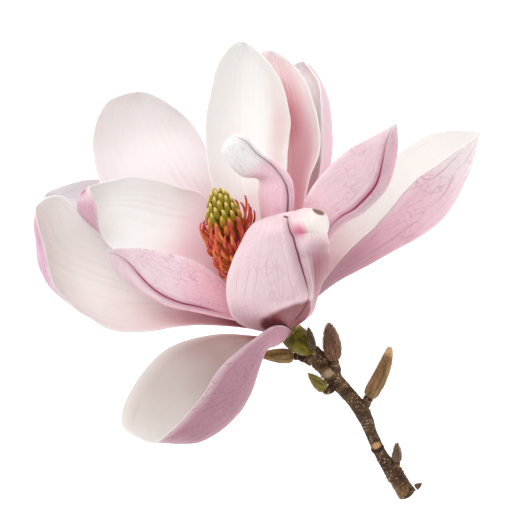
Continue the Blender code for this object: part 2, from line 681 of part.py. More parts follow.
def centre(collection):
    """Stands the middle of the flower's box over the origin, with its lowest point on the surface."""
    bpy.context.view_layer.update()
    graph = bpy.context.evaluated_depsgraph_get()
    corners = []
    for thing in collection.objects:
        seen = thing.evaluated_get(graph)
        mesh = seen.to_mesh()
        corners.extend(seen.matrix_world @ vert.co for vert in mesh.vertices)
        seen.to_mesh_clear()
    low = Vector([min(c[k] for c in corners) for k in range(3)])
    high = Vector([max(c[k] for c in corners) for k in range(3)])
    shift = Vector((-(low.x + high.x) / 2, -(low.y + high.y) / 2, -low.z))
    root = bpy.data.objects.new("flower_origin", None)
    collection.objects.link(root)
    for thing in collection.objects:
        if thing is not root:
            thing.parent = root
    root.location = shift


def main():
    """Builds the flower."""
    clear_scene()
    collection = bpy.data.collections.new("magnolia_flower")
    bpy.context.scene.collection.children.link(collection)
    axis = Axis(AXIS)
    for name, tepal in TEPALS.items():
        make_tepal(name, tepal, axis, collection)
    make_receptacle(axis, collection)
    make_stamens(axis, collection)
    make_gynoecium(axis, collection)
    make_peduncle(axis, collection)
    make_twig(collection)
    for name, bud in BUDS.items():
        make_bud(name, bud, collection)
    centre(collection)


main()
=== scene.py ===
"""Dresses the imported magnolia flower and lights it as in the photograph.

Every solid of the frame is replaced by a finer piece drawn from the same sizes: blades with a midrib, veins
and thin wavy margins, straps and styles that curl, a barked twig with ring scars and lenticels, and downy
buds. The tables are in millimetres in the flower's own drawing frame: x to the right and y up the flower as
seen from above, z up from the surface. The receptacle's place carries them to the frame that the model was
packed in.
"""

from __future__ import annotations

import logging
import math
import random
from dataclasses import dataclass, field, replace
from enum import Enum

import bpy
import numpy as np
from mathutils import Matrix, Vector, noise

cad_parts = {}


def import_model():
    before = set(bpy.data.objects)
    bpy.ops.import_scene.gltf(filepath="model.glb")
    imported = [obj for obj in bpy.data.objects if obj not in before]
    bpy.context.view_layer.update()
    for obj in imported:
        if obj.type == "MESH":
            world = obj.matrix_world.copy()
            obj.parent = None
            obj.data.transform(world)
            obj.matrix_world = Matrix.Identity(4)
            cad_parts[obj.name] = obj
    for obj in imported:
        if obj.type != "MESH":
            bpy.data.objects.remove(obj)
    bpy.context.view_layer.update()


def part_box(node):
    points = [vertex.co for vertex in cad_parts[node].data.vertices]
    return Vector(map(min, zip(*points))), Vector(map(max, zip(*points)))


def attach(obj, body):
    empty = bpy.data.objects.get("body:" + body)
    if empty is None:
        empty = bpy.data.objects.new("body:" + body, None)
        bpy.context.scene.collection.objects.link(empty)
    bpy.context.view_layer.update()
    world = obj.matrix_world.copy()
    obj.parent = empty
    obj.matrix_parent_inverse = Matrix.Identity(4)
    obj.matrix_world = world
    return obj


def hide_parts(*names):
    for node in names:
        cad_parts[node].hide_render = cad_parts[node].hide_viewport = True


LOG = logging.getLogger("magnolia")

MM = 0.001
RECEPTACLE_LOW = (1.40699, -26.97174, 25.633)  # the receptacle's lowest corner in the drawing frame
BODY = "root"
UP = np.array([0.0, 0.0, 1.0])
MEAN = 0.5  # of a noise
MIDRIB = 0.5  # where it lies across the UV map of a blade
LETTER_SEED = 0.37  # what each letter of the name adds to a seed

Colour = tuple[float, float, float, float]
Point = tuple[float, float, float]
Array = np.ndarray


def paint(red: int, green: int, blue: int) -> Colour:
    """Turns a colour as a screen shows it, 0 to 255, into the shader's linear colour."""
    shares = [channel / 255 for channel in (red, green, blue)]
    linear = [s / 12.92 if s < 0.04045 else ((s + 0.055) / 1.055) ** 2.4 for s in shares]
    return (*linear, 1.0)


def unit(vector: Array) -> Array:
    """The vector at length 1."""
    return vector / np.linalg.norm(vector)


def ease(value: Array | float, low: float, high: float) -> Array | float:
    """A smooth step from 0 at low to 1 at high."""
    t = np.clip((value - low) / (high - low), 0.0, 1.0)
    return t * t * (3 - 2 * t)


def hump(value: Array, middle: float, reach: float) -> Array:
    """A bell of height 1 at the middle, which falls off over the reach."""
    return np.exp(-(((value - middle) / reach) ** 2))


def corner_angles(sides: int) -> Array:
    """The angles of a ring's corners as one row, from its back round to its back."""
    return np.linspace(-math.pi, math.pi, sides + 1)[None, :]


def wander(points: Array, size: float, seed: float = 0.0) -> Array:
    """Smooth noise from -1 to 1 at an array of points.

    Args:
        points: the places, in millimetres, in an array that ends in 3.
        size: how wide the noise's swells are, in millimetres.
        seed: moves the noise, so that pieces differ.

    Returns:
        One number a point.
    """
    flat = points.reshape(-1, 3) / size + seed
    found = [noise.noise(Vector(p)) for p in flat]
    return np.array(found).reshape(points.shape[:-1])


def spline(points: Array, places: Array) -> Array:
    """Reads a Catmull-Rom curve; points[0] and points[-1] only steer its ends.

    Args:
        points: the points of the curve.
        places: where to read it; 0 is at points[1], and each whole number is at the next point.

    Returns:
        One point a place.
    """
    points = np.asarray(points, float)
    places = np.atleast_1d(places)
    k = np.clip(np.floor(places), 0, len(points) - 4).astype(int)
    t = (places - k)[:, None]
    a, b, c, d = (points[k + step] for step in range(4))
    straight, bend, turn = c - a, 2 * a - 5 * b + 4 * c - d, 3 * b - a - 3 * c + d
    return 0.5 * (2 * b + straight * t + bend * t**2 + turn * t**3)


def steered(points: list) -> list:
    """Adds the two steering points that make the spline's ends run on as parabolas."""
    points = [np.asarray(p, float) for p in points]
    first = 3 * points[0] - 3 * points[1] + points[2]
    last = 3 * points[-1] - 3 * points[-2] + points[-3]
    return [first, *points, last]


def arc(start: Array, leave: Array, end: Array, arrive: Array, count: int) -> Array:
    """Points along a smooth arc that leaves and arrives in the given directions."""
    start, end = np.array(start), np.array(end)
    reach = np.linalg.norm(end - start)
    t = np.linspace(0, 1, count)[:, None]
    return (
        (2 * t**3 - 3 * t**2 + 1) * start
        + (t**3 - 2 * t**2 + t) * reach * unit(np.array(leave))
        + (3 * t**2 - 2 * t**3) * end
        + (t**3 - t**2) * reach * unit(np.array(arrive))
    )


def sheath(path: Array, radii: Array, facing: Array, sides: int) -> Array:
    """Rings of points round a path, each starting and ending on the side away from facing.

    Args:
        path: the middle line, one point a ring.
        radii: a radius a ring, or an array of rings by sides + 1.
        facing: the direction that the rings' middle faces.
        sides: how many sides a ring has.

    Returns:
        An array of rings by sides + 1 points; the last point of a ring is its first again.
    """
    tangents = np.gradient(path, axis=0)
    tangents /= np.linalg.norm(tangents, axis=1)[:, None]
    front = facing - (tangents @ facing)[:, None] * tangents
    front /= np.linalg.norm(front, axis=1)[:, None]
    right = np.cross(tangents, front)
    around = corner_angles(sides)[..., None]
    radii = np.asarray(radii, float)
    if radii.ndim == 1:
        radii = np.repeat(radii[:, None], sides + 1, axis=1)
    spokes = np.cos(around) * front[:, None] + np.sin(around) * right[:, None]
    return path[:, None] + radii[..., None] * spokes


class FlowerAxis:
    """The flower's axis from the receptacle's foot to the tip of its cone, measured along its curve."""

    def __init__(self, points: tuple[Point, ...], samples: int = 200) -> None:
        """Measures the curve through the points."""
        self.curve = spline(steered(list(points)), np.linspace(0, len(points) - 1, samples))
        steps = np.linalg.norm(np.diff(self.curve, axis=0), axis=1)
        self.along = np.concatenate([[0.0], np.cumsum(steps)])
        self.length = float(self.along[-1])

    def point(self, height: float) -> Array:
        """The axis's point at a height; below 0 and past its end it runs on straight."""
        inside = min(max(height, 0.0), self.length)
        found = np.array([np.interp(inside, self.along, self.curve[:, k]) for k in range(3)])
        return found + (height - inside) * self.tangent(inside)

    def line(self, low: float, high: float, count: int) -> Array:
        """Points of the axis, evenly spaced from one height to another."""
        return np.array([self.point(height) for height in np.linspace(low, high, count)])

    def tangent(self, height: float) -> Array:
        """The axis's direction at a height."""
        k = int(np.clip(np.searchsorted(self.along, height), 2, len(self.along) - 3))
        return unit(self.curve[k + 2] - self.curve[k - 2])

    def spoke(self, height: float, azimuth: float) -> tuple[Array, Array]:
        """The outward direction at an azimuth in degrees, and the direction in which azimuth grows."""
        up = self.tangent(height)
        front = unit(UP - up[2] * up)
        right = np.cross(up, front)
        angle = math.radians(azimuth)
        outward = math.cos(angle) * front + math.sin(angle) * right
        return outward, math.cos(angle) * right - math.sin(angle) * front


AXIS = FlowerAxis(
    ((10.5, -24.0, 29.5), (1.5, -12.5, 36.0), (-5.5, -1.5, 42.5), (-9.5, 10.0, 49.0), (-12.0, 20.5, 54.0))
)


def clad(name: str, points: Array, closed: bool = True, body: Array | None = None) -> bpy.types.Object:
    """Lays a grid on an array of points and welds it where its points meet.

    Args:
        name: the piece's name.
        points: rows by columns points in millimetres; going along a row and then up a column, the outer face
            is the one that the right-hand rule gives.
        closed: whether the open ends are filled.
        body: a weight from 0 to 1 a point, kept as the vertex group "body".

    Returns:
        The piece, smooth shaded, with the grid's own UV map.
    """
    rows, columns = points.shape[0] - 1, points.shape[1] - 1
    bpy.ops.object.select_all(action="DESELECT")
    bpy.ops.mesh.primitive_grid_add(x_subdivisions=columns, y_subdivisions=rows, size=1.0)
    piece = bpy.context.object
    piece.name = name
    piece.data.name = name
    piece.data.vertices.foreach_set("co", (points.reshape(-1, 3) * MM).ravel())
    if body is not None:
        group = piece.vertex_groups.new(name="body")
        for index, weight in enumerate(body.ravel()):
            group.add([index], float(weight), "REPLACE")
    bpy.ops.object.mode_set(mode="EDIT")
    bpy.ops.mesh.select_all(action="SELECT")
    bpy.ops.mesh.remove_doubles(threshold=0.002 * MM)
    if closed:
        bpy.ops.mesh.fill_holes(sides=0)
        bpy.ops.mesh.normals_make_consistent(inside=False)
    bpy.ops.object.mode_set(mode="OBJECT")
    bpy.ops.object.shade_smooth()
    return piece


def joined(pieces: list[bpy.types.Object], name: str) -> bpy.types.Object:
    """Joins pieces into the first one and renames it."""
    bpy.ops.object.select_all(action="DESELECT")
    for piece in pieces:
        piece.select_set(True)
    bpy.context.view_layer.objects.active = pieces[0]
    bpy.ops.object.join()
    pieces[0].name = name
    pieces[0].data.name = name
    return pieces[0]


def fused(core: bpy.types.Object, limbs: list[bpy.types.Object]) -> bpy.types.Object:
    """Unites the limbs with their core and removes them."""
    for limb in limbs:
        bpy.context.view_layer.objects.active = core
        union = core.modifiers.new("Union", "BOOLEAN")
        union.operation = "UNION"
        union.object = limb
        union.solver = "EXACT"
        bpy.ops.object.modifier_apply(modifier=union.name)
        discard(limb)
    return core


def coordinates(piece: bpy.types.Object) -> Array:
    """The piece's vertices as an array, in millimetres."""
    found = np.empty(len(piece.data.vertices) * 3)
    piece.data.vertices.foreach_get("co", found)
    return found.reshape(-1, 3) / MM


def set_coordinates(piece: bpy.types.Object, places: Array) -> None:
    """Moves the piece's vertices to places in millimetres."""
    piece.data.vertices.foreach_set("co", (places * MM).ravel())
    piece.data.update()


def twin(piece: bpy.types.Object) -> bpy.types.Object:
    """A copy of the piece with a mesh of its own."""
    copy = piece.copy()
    copy.data = piece.data.copy()
    bpy.context.collection.objects.link(copy)
    return copy


def discard(piece: bpy.types.Object) -> None:
    """Takes away a piece that was only copied or cut with."""
    bpy.data.objects.remove(piece, do_unlink=True)


def dress(pieces: list[bpy.types.Object], material: bpy.types.Material) -> None:
    """Adds the material to each piece."""
    for piece in pieces:
        piece.data.materials.append(material)


def grown(
    template: bpy.types.Object, path: Array, side: Array, wide: float, deep: float, mark: float
) -> bpy.types.Object:
    """Copies a straight template, which stands from 0 to 1 on z, and bends it along a path.

    Args:
        template: the piece to copy, 1 mm in each half breadth.
        path: the middle line, in millimetres.
        side: the direction of the template's breadth.
        wide: half its breadth.
        deep: half its thickness.
        mark: a number kept as the first coordinate of the copy's UV map; the second runs along it.

    Returns:
        The copy, with a mesh of its own.
    """
    copy = twin(template)
    straight = coordinates(template)
    places = np.clip(straight[:, 2], 0, 1) * (len(path) - 1)
    drawn = steered(list(path))
    middle = spline(drawn, places)
    onward = spline(drawn, places + 0.02) - spline(drawn, places - 0.02)
    onward /= np.linalg.norm(onward, axis=1)[:, None]
    across = side - (onward @ side)[:, None] * onward
    across /= np.linalg.norm(across, axis=1)[:, None]
    normal = np.cross(onward, across)
    set_coordinates(copy, middle + wide * straight[:, :1] * across + deep * straight[:, 1:2] * normal)
    loops = np.empty(len(copy.data.loops), int)
    copy.data.loops.foreach_get("vertex_index", loops)
    chart = np.column_stack([np.full(len(loops), mark), straight[loops, 2]])
    copy.data.uv_layers[0].data.foreach_set("uv", chart.ravel())
    return copy


def prism(name: str, profile: tuple[float, ...], sides: int, rows: int) -> bpy.types.Object:
    """A straight template on z from 0 to 1 whose half breadth follows the profile, closed at both ends."""
    heights = np.linspace(0, 1, rows)
    breadths = np.interp(heights, np.linspace(0, 1, len(profile)), profile)
    path = np.column_stack([np.zeros(rows), np.zeros(rows), heights])
    return clad(name, sheath(path, breadths, np.array([0.0, 1.0, 0.0]), sides))


def hand_over(piece: bpy.types.Object, node: str, shift: Vector) -> None:
    """Carries a finished piece to the frame, where it stands for a node, with nothing under the surface."""
    places = coordinates(piece) + np.array(shift) / MM
    places[:, 2] = places[:, 2].clip(0.0)
    set_coordinates(piece, places)
    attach(piece, BODY)
    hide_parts(node)
    LOG.info("%s: %d faces", piece.name, len(piece.data.polygons))


class Wire:
    """A shader socket that Python's arithmetic works on; each operation adds its Math node."""

    def __init__(self, bench: Bench, socket: bpy.types.NodeSocket) -> None:
        """Keeps the socket and the bench that its nodes are added on."""
        self.bench = bench
        self.socket = socket

    def maths(self, operation: str, *others: Wire | float, swapped: bool = False) -> Wire:
        """Adds a Math node on this value and others.

        Args:
            operation: the node's operation.
            others: its other inputs.
            swapped: whether the first of the others comes before this value.

        Returns:
            The node's result.
        """
        inputs = [self, *others]
        if swapped:
            inputs.reverse()
        return self.bench.node("ShaderNodeMath", {"operation": operation}, dict(enumerate(inputs)))

    def __add__(self, other: Wire | float) -> Wire:
        """The sum."""
        return self.maths("ADD", other)

    def __radd__(self, other: float) -> Wire:
        """The sum, with the number first."""
        return self.maths("ADD", other, swapped=True)

    def __sub__(self, other: Wire | float) -> Wire:
        """The difference."""
        return self.maths("SUBTRACT", other)

    def __rsub__(self, other: float) -> Wire:
        """The difference, with the number first."""
        return self.maths("SUBTRACT", other, swapped=True)

    def __mul__(self, other: Wire | float) -> Wire:
        """The product."""
        return self.maths("MULTIPLY", other)

    def __rmul__(self, other: float) -> Wire:
        """The product, with the number first."""
        return self.maths("MULTIPLY", other, swapped=True)

    def __pow__(self, other: float) -> Wire:
        """The power."""
        return self.maths("POWER", other)

    def fraction(self) -> Wire:
        """What is left over after whole numbers."""
        return self.maths("FRACT")

    def size(self) -> Wire:
        """The value without its sign."""
        return self.maths("ABSOLUTE")

    def least(self, other: Wire | float) -> Wire:
        """The smaller of two values."""
        return self.maths("MINIMUM", other)

    def most(self, other: Wire | float) -> Wire:
        """The larger of two values."""
        return self.maths("MAXIMUM", other)

    def step(self, low: float, high: float) -> Wire:
        """A smooth step from 0 at low to 1 at high; low may be the larger."""
        return self.bench.node(
            "ShaderNodeMapRange",
            {"interpolation_type": "SMOOTHSTEP"},
            {"Value": self, "From Min": low, "From Max": high},
        )


class Bench:
    """The nodes of one material."""

    def __init__(self, name: str) -> None:
        """Starts a material with a Principled shader."""
        self.material = bpy.data.materials.new(name)
        self.material.use_nodes = True
        self.tree = self.material.node_tree
        self.shader = self.tree.nodes["Principled BSDF"]

    def node(self, kind: str, settings: dict, inputs: dict, output: int | str = 0) -> Wire:
        """Adds a node.

        Args:
            kind: its type.
            settings: its properties, set first.
            inputs: values or wires by the socket's name or number.
            output: which of its outputs is wanted.

        Returns:
            The wanted output.
        """
        made = self.tree.nodes.new(kind)
        for key, value in settings.items():
            setattr(made, key, value)
        for key, value in inputs.items():
            if isinstance(value, Wire):
                self.tree.links.new(value.socket, made.inputs[key])
            else:
                made.inputs[key].default_value = value
        return Wire(self, made.outputs[output])

    def chart(self) -> tuple[Wire, Wire]:
        """The piece's UV map as two values."""
        both = self.node("ShaderNodeUVMap", {}, {})
        return self.split(both, "X"), self.split(both, "Y")

    def split(self, vector: Wire, axis: str) -> Wire:
        """One component of a vector."""
        return self.node("ShaderNodeSeparateXYZ", {}, {0: vector}, axis)

    def place(self) -> Wire:
        """The Object coordinates."""
        return self.node("ShaderNodeTexCoord", {}, {}, "Object")

    def vector(self, x: Wire | float, y: Wire | float, z: Wire | float = 0.0) -> Wire:
        """A vector from three values."""
        return self.node("ShaderNodeCombineXYZ", {}, {0: x, 1: y, 2: z})

    def cloud(self, place: Wire, scale: float, detail: float = 2.0, rough: float = 0.5) -> Wire:
        """Smooth noise from 0 to 1."""
        return self.node(
            "ShaderNodeTexNoise", {}, {"Vector": place, "Scale": scale, "Detail": detail, "Roughness": rough}
        )

    def swirl(
        self, chart: tuple[Wire, Wire], swells: tuple[float, float], seed: float = 0.0, detail: float = 2.0
    ) -> Wire:
        """Smooth noise on the UV map, with so many swells across it and along it."""
        return self.cloud(self.vector(chart[0] * swells[0], chart[1] * swells[1], seed), 1.0, detail)

    def cells(self, place: Wire, scale: float, feature: str) -> Wire:
        """A pattern of cells: how far each place is from what the feature names."""
        inputs = {"Vector": place, "Scale": scale}
        return self.node("ShaderNodeTexVoronoi", {"feature": feature}, inputs, "Distance")

    def mix(self, share: Wire | float, first: Wire | Colour, second: Wire | Colour) -> Wire:
        """A mix of two colours."""
        return self.node("ShaderNodeMix", {"data_type": "RGBA"}, {0: share, 6: first, 7: second}, 2)

    def finish(
        self, colour: Wire, rough: Wire, height: Wire, depth: float, **uniform: float | Colour
    ) -> bpy.types.Material:
        """Wires the shader up.

        Args:
            colour: the base colour.
            rough: the roughness.
            height: the bump's height, 0 to 1.
            depth: how much a height of 1 stands out, in millimetres.
            uniform: values that are the same all over, by the shader's socket names with _ for a space.

        Returns:
            The material.
        """
        normal = self.node("ShaderNodeBump", {}, {"Strength": 1.0, "Distance": depth * MM, "Height": height})
        for key, wire in (("Base Color", colour), ("Roughness", rough), ("Normal", normal)):
            self.tree.links.new(wire.socket, self.shader.inputs[key])
        for key, value in uniform.items():
            self.shader.inputs[key.replace("_", " ")].default_value = value
        return self.material


WHITE = paint(252, 251, 248)
CRIMSON = paint(150, 40, 72)

# what bark, stem, stamens and carpels mirror of the pale surroundings: less than a smooth petal does
DULL = {"Specular_IOR_Level": 0.2}
FLESHY = {**DULL, "Subsurface_Scale": 0.5 * MM}
TENDER = {
    "Subsurface_Weight": 0.15,
    "Subsurface_Radius": (1.0, 0.7, 0.62),
    "Subsurface_Scale": 1.2 * MM,
    "Sheen_Weight": 0.08,
    "Specular_IOR_Level": 0.35,
}


@dataclass(frozen=True)
class Patch:
    """A soft mark on a skin: its middle and its reach, across and along, its colour and its strength."""

    across: float
    along: float
    wide: float
    long: float
    colour: Colour
    strength: float = 1.0
    hard: float = 0.0

    def laid(self, bench: Bench, under: Wire, chart: tuple[Wire, Wire], stray: Wire) -> Wire:
        """Lays the mark over a colour.

        Args:
            bench: the material's nodes.
            under: the colour under the mark.
            chart: the place on the skin, across and along.
            stray: what is added to the distance from the middle, so that the mark's edge wanders.

        Returns:
            The marked colour.
        """
        off_x = (chart[0] - self.across) * (1 / self.wide)
        off_y = (chart[1] - self.along) * (1 / self.long)
        far = (off_x * off_x + off_y * off_y) ** 0.5 + stray
        return bench.mix(far.step(1.0, self.hard) * self.strength, under, self.colour)


@dataclass(frozen=True)
class Swell:
    """A soft rise of a blade, or a hollow below 0: its middle, its reach across and along, its height."""

    across: float
    along: float
    wide: float
    long: float
    height: float


@dataclass(frozen=True)
class PetalSkin:
    """One face of a tepal: its colours from claw to tip, its veins, its midrib and its marks.

    Lengths are shares of the blade. The pairs of swells say how often a noise swells across and along it.
    """

    claw: Colour = CRIMSON
    base: Colour = paint(232, 180, 192)
    body: Colour = WHITE
    tip: Colour = WHITE
    claw_reach: float = 0.12
    base_reach: float = 0.35
    base_full: float = 0.02
    tip_start: float = 0.75
    tip_end: float = 1.0
    border_drift: float = 0.2
    claw_drift: float = 0.1
    drift_scale: float = 55.0
    vein: Colour = paint(226, 206, 206)
    vein_width: float = 0.075
    stray_swells: tuple[float, float] = (2.5, 4.0)
    ribs: float = 11.0
    rib_strength: float = 0.14
    rib_stray: float = 1.6
    rib_swells: tuple[float, float] = (9.0, 7.0)
    rib_gaps: tuple[float, float] = (0.38, 0.62)
    net_strength: float = 0.0
    net_scale: float = 1.5
    net_cells: float = 15.0
    net_stray: float = 3.0
    net_bend: tuple[float, float] = (1.3, 1.5)
    bend_swells: tuple[float, float] = (14.0, 18.0)
    net_swells: tuple[float, float] = (5.0, 8.0)
    net_gaps: tuple[float, float] = (0.3, 0.6)
    groove: Colour | None = None
    groove_span: tuple[float, float] = (0.1, 0.95)
    groove_ends: tuple[float, float] = (0.1, 0.12)
    groove_width: float = 0.017
    groove_core: float = 0.3
    groove_drift: float = 0.008
    halo: float = 0.3
    halo_width: float = 0.1
    hem: Colour = WHITE
    hem_strength: float = 0.3
    hem_width: float = 0.05
    patches: tuple[Patch, ...] = ()
    patch_drift: tuple[float, float] = (0.9, 0.3)
    grain_scale: float = 1100.0
    grain_depth: float = 0.35
    dip_depth: float = 0.65
    relief: float = 0.1
    roughness: tuple[float, float] = (0.38, 0.18)

    def veins(self, bench: Bench, chart: tuple[Wire, Wire]) -> Wire:
        """Draws the fanning veins and the net between them.

        Args:
            bench: the material's nodes.
            chart: the place on the blade, across and along.

        Returns:
            The veins, from 0 to 1.
        """
        across, along = chart
        stray = bench.swirl(chart, self.stray_swells) - MEAN
        fan = (across * self.ribs + stray * self.rib_stray).fraction() - MEAN
        uneven = bench.swirl(chart, self.rib_swells, seed=3.0).step(*self.rib_gaps)
        ribs = fan.size().step(self.vein_width, 0.0) * uneven * self.rib_strength
        if not self.net_strength:
            return ribs
        bend = bench.swirl(chart, self.bend_swells, seed=7.0) - MEAN
        slant = across * self.net_cells + bend * self.net_bend[0]
        rise = along * self.net_cells + stray * self.net_stray + bend * self.net_bend[1]
        web = bench.cells(bench.vector(slant, rise), self.net_scale, "DISTANCE_TO_EDGE")
        patchy = bench.swirl(chart, self.net_swells, seed=5.0).step(*self.net_gaps)
        return ribs.most(web.step(self.vein_width, 0.0) * patchy * self.net_strength)

    def grooved(self, bench: Bench, colour: Wire, chart: tuple[Wire, Wire], drift: Wire) -> tuple[Wire, Wire]:
        """Draws the dark line of the midrib and the blush beside it.

        Args:
            bench: the material's nodes.
            colour: the colour under the line.
            chart: the place on the blade, across and along.
            drift: the noise that the line follows a little.

        Returns:
            The colour with the line, and the line itself from 0 to 1.
        """
        across, along = chart
        off = (across - MIDRIB + drift * self.groove_drift).size()
        low, high = self.groove_span
        span = along.step(low, low + self.groove_ends[0]) * along.step(high, high - self.groove_ends[1])
        colour = bench.mix(off.step(self.halo_width, 0.0) * span * self.halo, colour, self.groove)
        core = off.step(self.groove_width, self.groove_core * self.groove_width) * span
        return bench.mix(core, colour, self.groove), core

    def build(self, name: str) -> bpy.types.Material:
        """Makes the material, with the midrib at the middle of the UV map."""
        bench = Bench(name)
        across, along = chart = bench.chart()
        place = bench.place()
        drift = bench.cloud(place, self.drift_scale) - MEAN
        grain = bench.cloud(place, self.grain_scale, 3.0)
        border = along + drift * self.border_drift
        colour = bench.mix(border.step(self.tip_start, self.tip_end), self.body, self.tip)
        colour = bench.mix(border.step(self.base_reach, self.base_full), colour, self.base)
        edge = across.least(1.0 - across)
        colour = bench.mix(edge.step(self.hem_width, 0.0) * self.hem_strength, colour, self.hem)
        for patch in self.patches:
            soft, sharp = self.patch_drift
            colour = patch.laid(bench, colour, chart, drift * (soft + (sharp - soft) * patch.hard))
        claw = (along + drift * self.claw_drift).step(self.claw_reach, 0.0)
        colour = bench.mix(claw, colour, self.claw)
        dip = self.veins(bench, chart)
        colour = bench.mix(dip, colour, self.vein)
        if self.groove:
            colour, core = self.grooved(bench, colour, chart, drift)
            dip = dip.most(core)
        least, more = self.roughness
        height = grain * self.grain_depth - dip * self.dip_depth
        return bench.finish(colour, grain * more + least, height, self.relief, **TENDER)


@dataclass(frozen=True)
class Petal:
    """One tepal: where it leaves the receptacle, its drawn rows, its midrib and the finish of its faces.

    Each row crosses the blade the way azimuth grows at the claw, and the rows climb from the claw to the tip.
    The midrib is given as places along the blade and how far across it lies there. The bank beside the groove
    has a height, a place and a reach. Each wave has a size, a height and a seed of its own.
    """

    name: str
    whorl: int
    azimuth: float
    point: float
    rows: tuple
    tip: Point
    outer: PetalSkin
    inner: PetalSkin
    midrib: tuple[tuple[float, float], ...] = ((0.0, 0.5), (1.0, 0.5))
    swells: tuple[Swell, ...] = ()
    groove_depth: float = 0.2
    groove_reach: float = 0.045
    groove_start: tuple[float, float] = (0.08, 0.2)
    groove_end: tuple[float, float] = (0.03, 0.15)
    bank: tuple[float, float, float] = (0.35, 0.13, 0.06)
    rib_height: float = 0.07
    rib_count: float = 6.5
    ruffle: float = 0.5
    waves: tuple[tuple[float, float, float], ...] = ((15.0, 0.9, 0.0), (4.5, 0.22, 5.0))
    hem_wave: tuple[float, float, float] = (7.0, 1.0, 9.0)
    hem_power: int = 6
    calm_foot: tuple[float, float] = (0.08, 0.3)
    calm_tip: tuple[float, float] = (0.0, 0.12)
    grid: tuple[int, int] = (110, 64)
    whorl_heights: tuple[float, ...] = (1.4, 4.2, 7.0, 9.8)
    receptacle_radius: float = 4.2
    gap: float = 0.3
    blade: float = 0.9
    margin: float = 0.4
    body_power: float = 2.5
    body_end: tuple[float, float] = (0.0, 0.2)
    claw_half_width: float = 2.4
    row_crowding: float = 1.25

    def chart(self) -> tuple[Array, Array]:
        """How far a column lies beside the midrib, -1 to 1, and a row along the blade, 0 to 1."""
        rows, columns = self.grid
        return np.linspace(-1, 1, columns + 1)[None, :], np.linspace(0, 1, rows + 1)[:, None]

    def claw_row(self, columns: int) -> list[Array]:
        """The first row, curved round the receptacle."""
        height = self.whorl_heights[self.whorl]
        radius = self.receptacle_radius + self.gap + self.blade / 2
        sweep = math.degrees(self.claw_half_width / radius)
        turns = self.azimuth + sweep * np.linspace(-1, 1, columns)
        return [AXIS.point(height) + radius * AXIS.spoke(height, turn)[0] for turn in turns]

    def surface(self) -> Array:
        """The blade's middle surface, with its middle column on the midrib."""
        rows, columns = self.grid
        drawn = [[np.array(p) for p in row] for row in self.rows]
        count = len(drawn[0])
        drawn.insert(0, self.claw_row(count))
        tip = np.array(self.tip)
        final = drawn[-1]
        along = np.linspace(0, 1, rows + 1)
        places = len(drawn) * (1 - (1 - along) ** self.row_crowding)
        rails = []
        for k in range(count):
            side = (1 - self.point) * abs(2 * k / (count - 1) - 1)
            mirror = 2 * tip - final[k if self.point else count // 2]
            past = side * final[count - 1 - k] + (1 - side) * mirror
            points = [row[k] for row in drawn] + [tip]
            rails.append(spline([3 * points[0] - 3 * points[1] + points[2], *points, past], places))
        middle = np.interp(along, *zip(*self.midrib))
        half = np.linspace(0, 1, columns // 2 + 1)
        found = []
        for k in range(rows + 1):
            across = np.concatenate([half[:-1] * middle[k], middle[k] + half * (1 - middle[k])])
            found.append(spline(steered([rail[k] for rail in rails]), across * (count - 1)))
        return np.array(found)

    def relief(self, surface: Array) -> Array:
        """Works out the groove, the ribs, the waves and the swells of the blade.

        Args:
            surface: the points of the drawn surface.

        Returns:
            How far each point stands out of that surface, in millimetres.
        """
        first_seed = sum(ord(letter) for letter in self.name) * LETTER_SEED
        side, along = self.chart()
        clear = ease(along, *self.calm_foot) * ease(1 - along, *self.calm_tip)
        bank_height, bank_place, bank_reach = self.bank
        groove = hump(side, 0.0, self.groove_reach) - bank_height * hump(np.abs(side), bank_place, bank_reach)
        ends = ease(along, *self.groove_start) * ease(1 - along, *self.groove_end)
        found = -self.groove_depth * groove * ends
        ribs = np.cos(2 * math.pi * self.rib_count * side) * np.sqrt(1 - np.abs(side))
        found = found + self.rib_height * ribs * clear
        for size, height, seed in self.waves:
            found = found + height * self.ruffle * wander(surface, size, first_seed + seed) * clear
        for swell in self.swells:
            rise = hump(side / 2 + 0.5, swell.across, swell.wide) * hump(along, swell.along, swell.long)
            found = found + swell.height * rise
        size, height, seed = self.hem_wave
        hem = height * self.ruffle * wander(surface, size, first_seed + seed)
        return found + hem * np.abs(side) ** self.hem_power * clear

    def build(self) -> bpy.types.Object:
        """Shapes the blade, thickens it towards its middle and dresses both faces."""
        surface = self.surface()
        normals = np.cross(np.gradient(surface, axis=1), np.gradient(surface, axis=0))
        normals[-2:] = normals[-3]
        normals /= np.linalg.norm(normals, axis=2)[..., None]
        surface = surface + self.relief(surface)[..., None] * normals
        surface[-1] = surface[-1].mean(axis=0)
        surface[..., 2] = np.maximum(surface[..., 2], self.blade / 2)
        side, along = self.chart()
        body = (1 - np.abs(side) ** self.body_power) * ease(1 - along, *self.body_end)
        piece = clad(self.name + "_blade", surface, closed=False, body=body)
        dress([piece], self.outer.build(self.name + "_outer"))
        dress([piece], self.inner.build(self.name + "_inner"))
        wall = piece.modifiers.new("Wall", "SOLIDIFY")
        wall.thickness = self.blade * MM
        wall.offset = 0.0
        wall.vertex_group = "body"
        wall.thickness_vertex_group = self.margin
        wall.material_offset = 1
        wall.material_offset_rim = 1
        bpy.ops.object.modifier_apply(modifier=wall.name)
        return piece


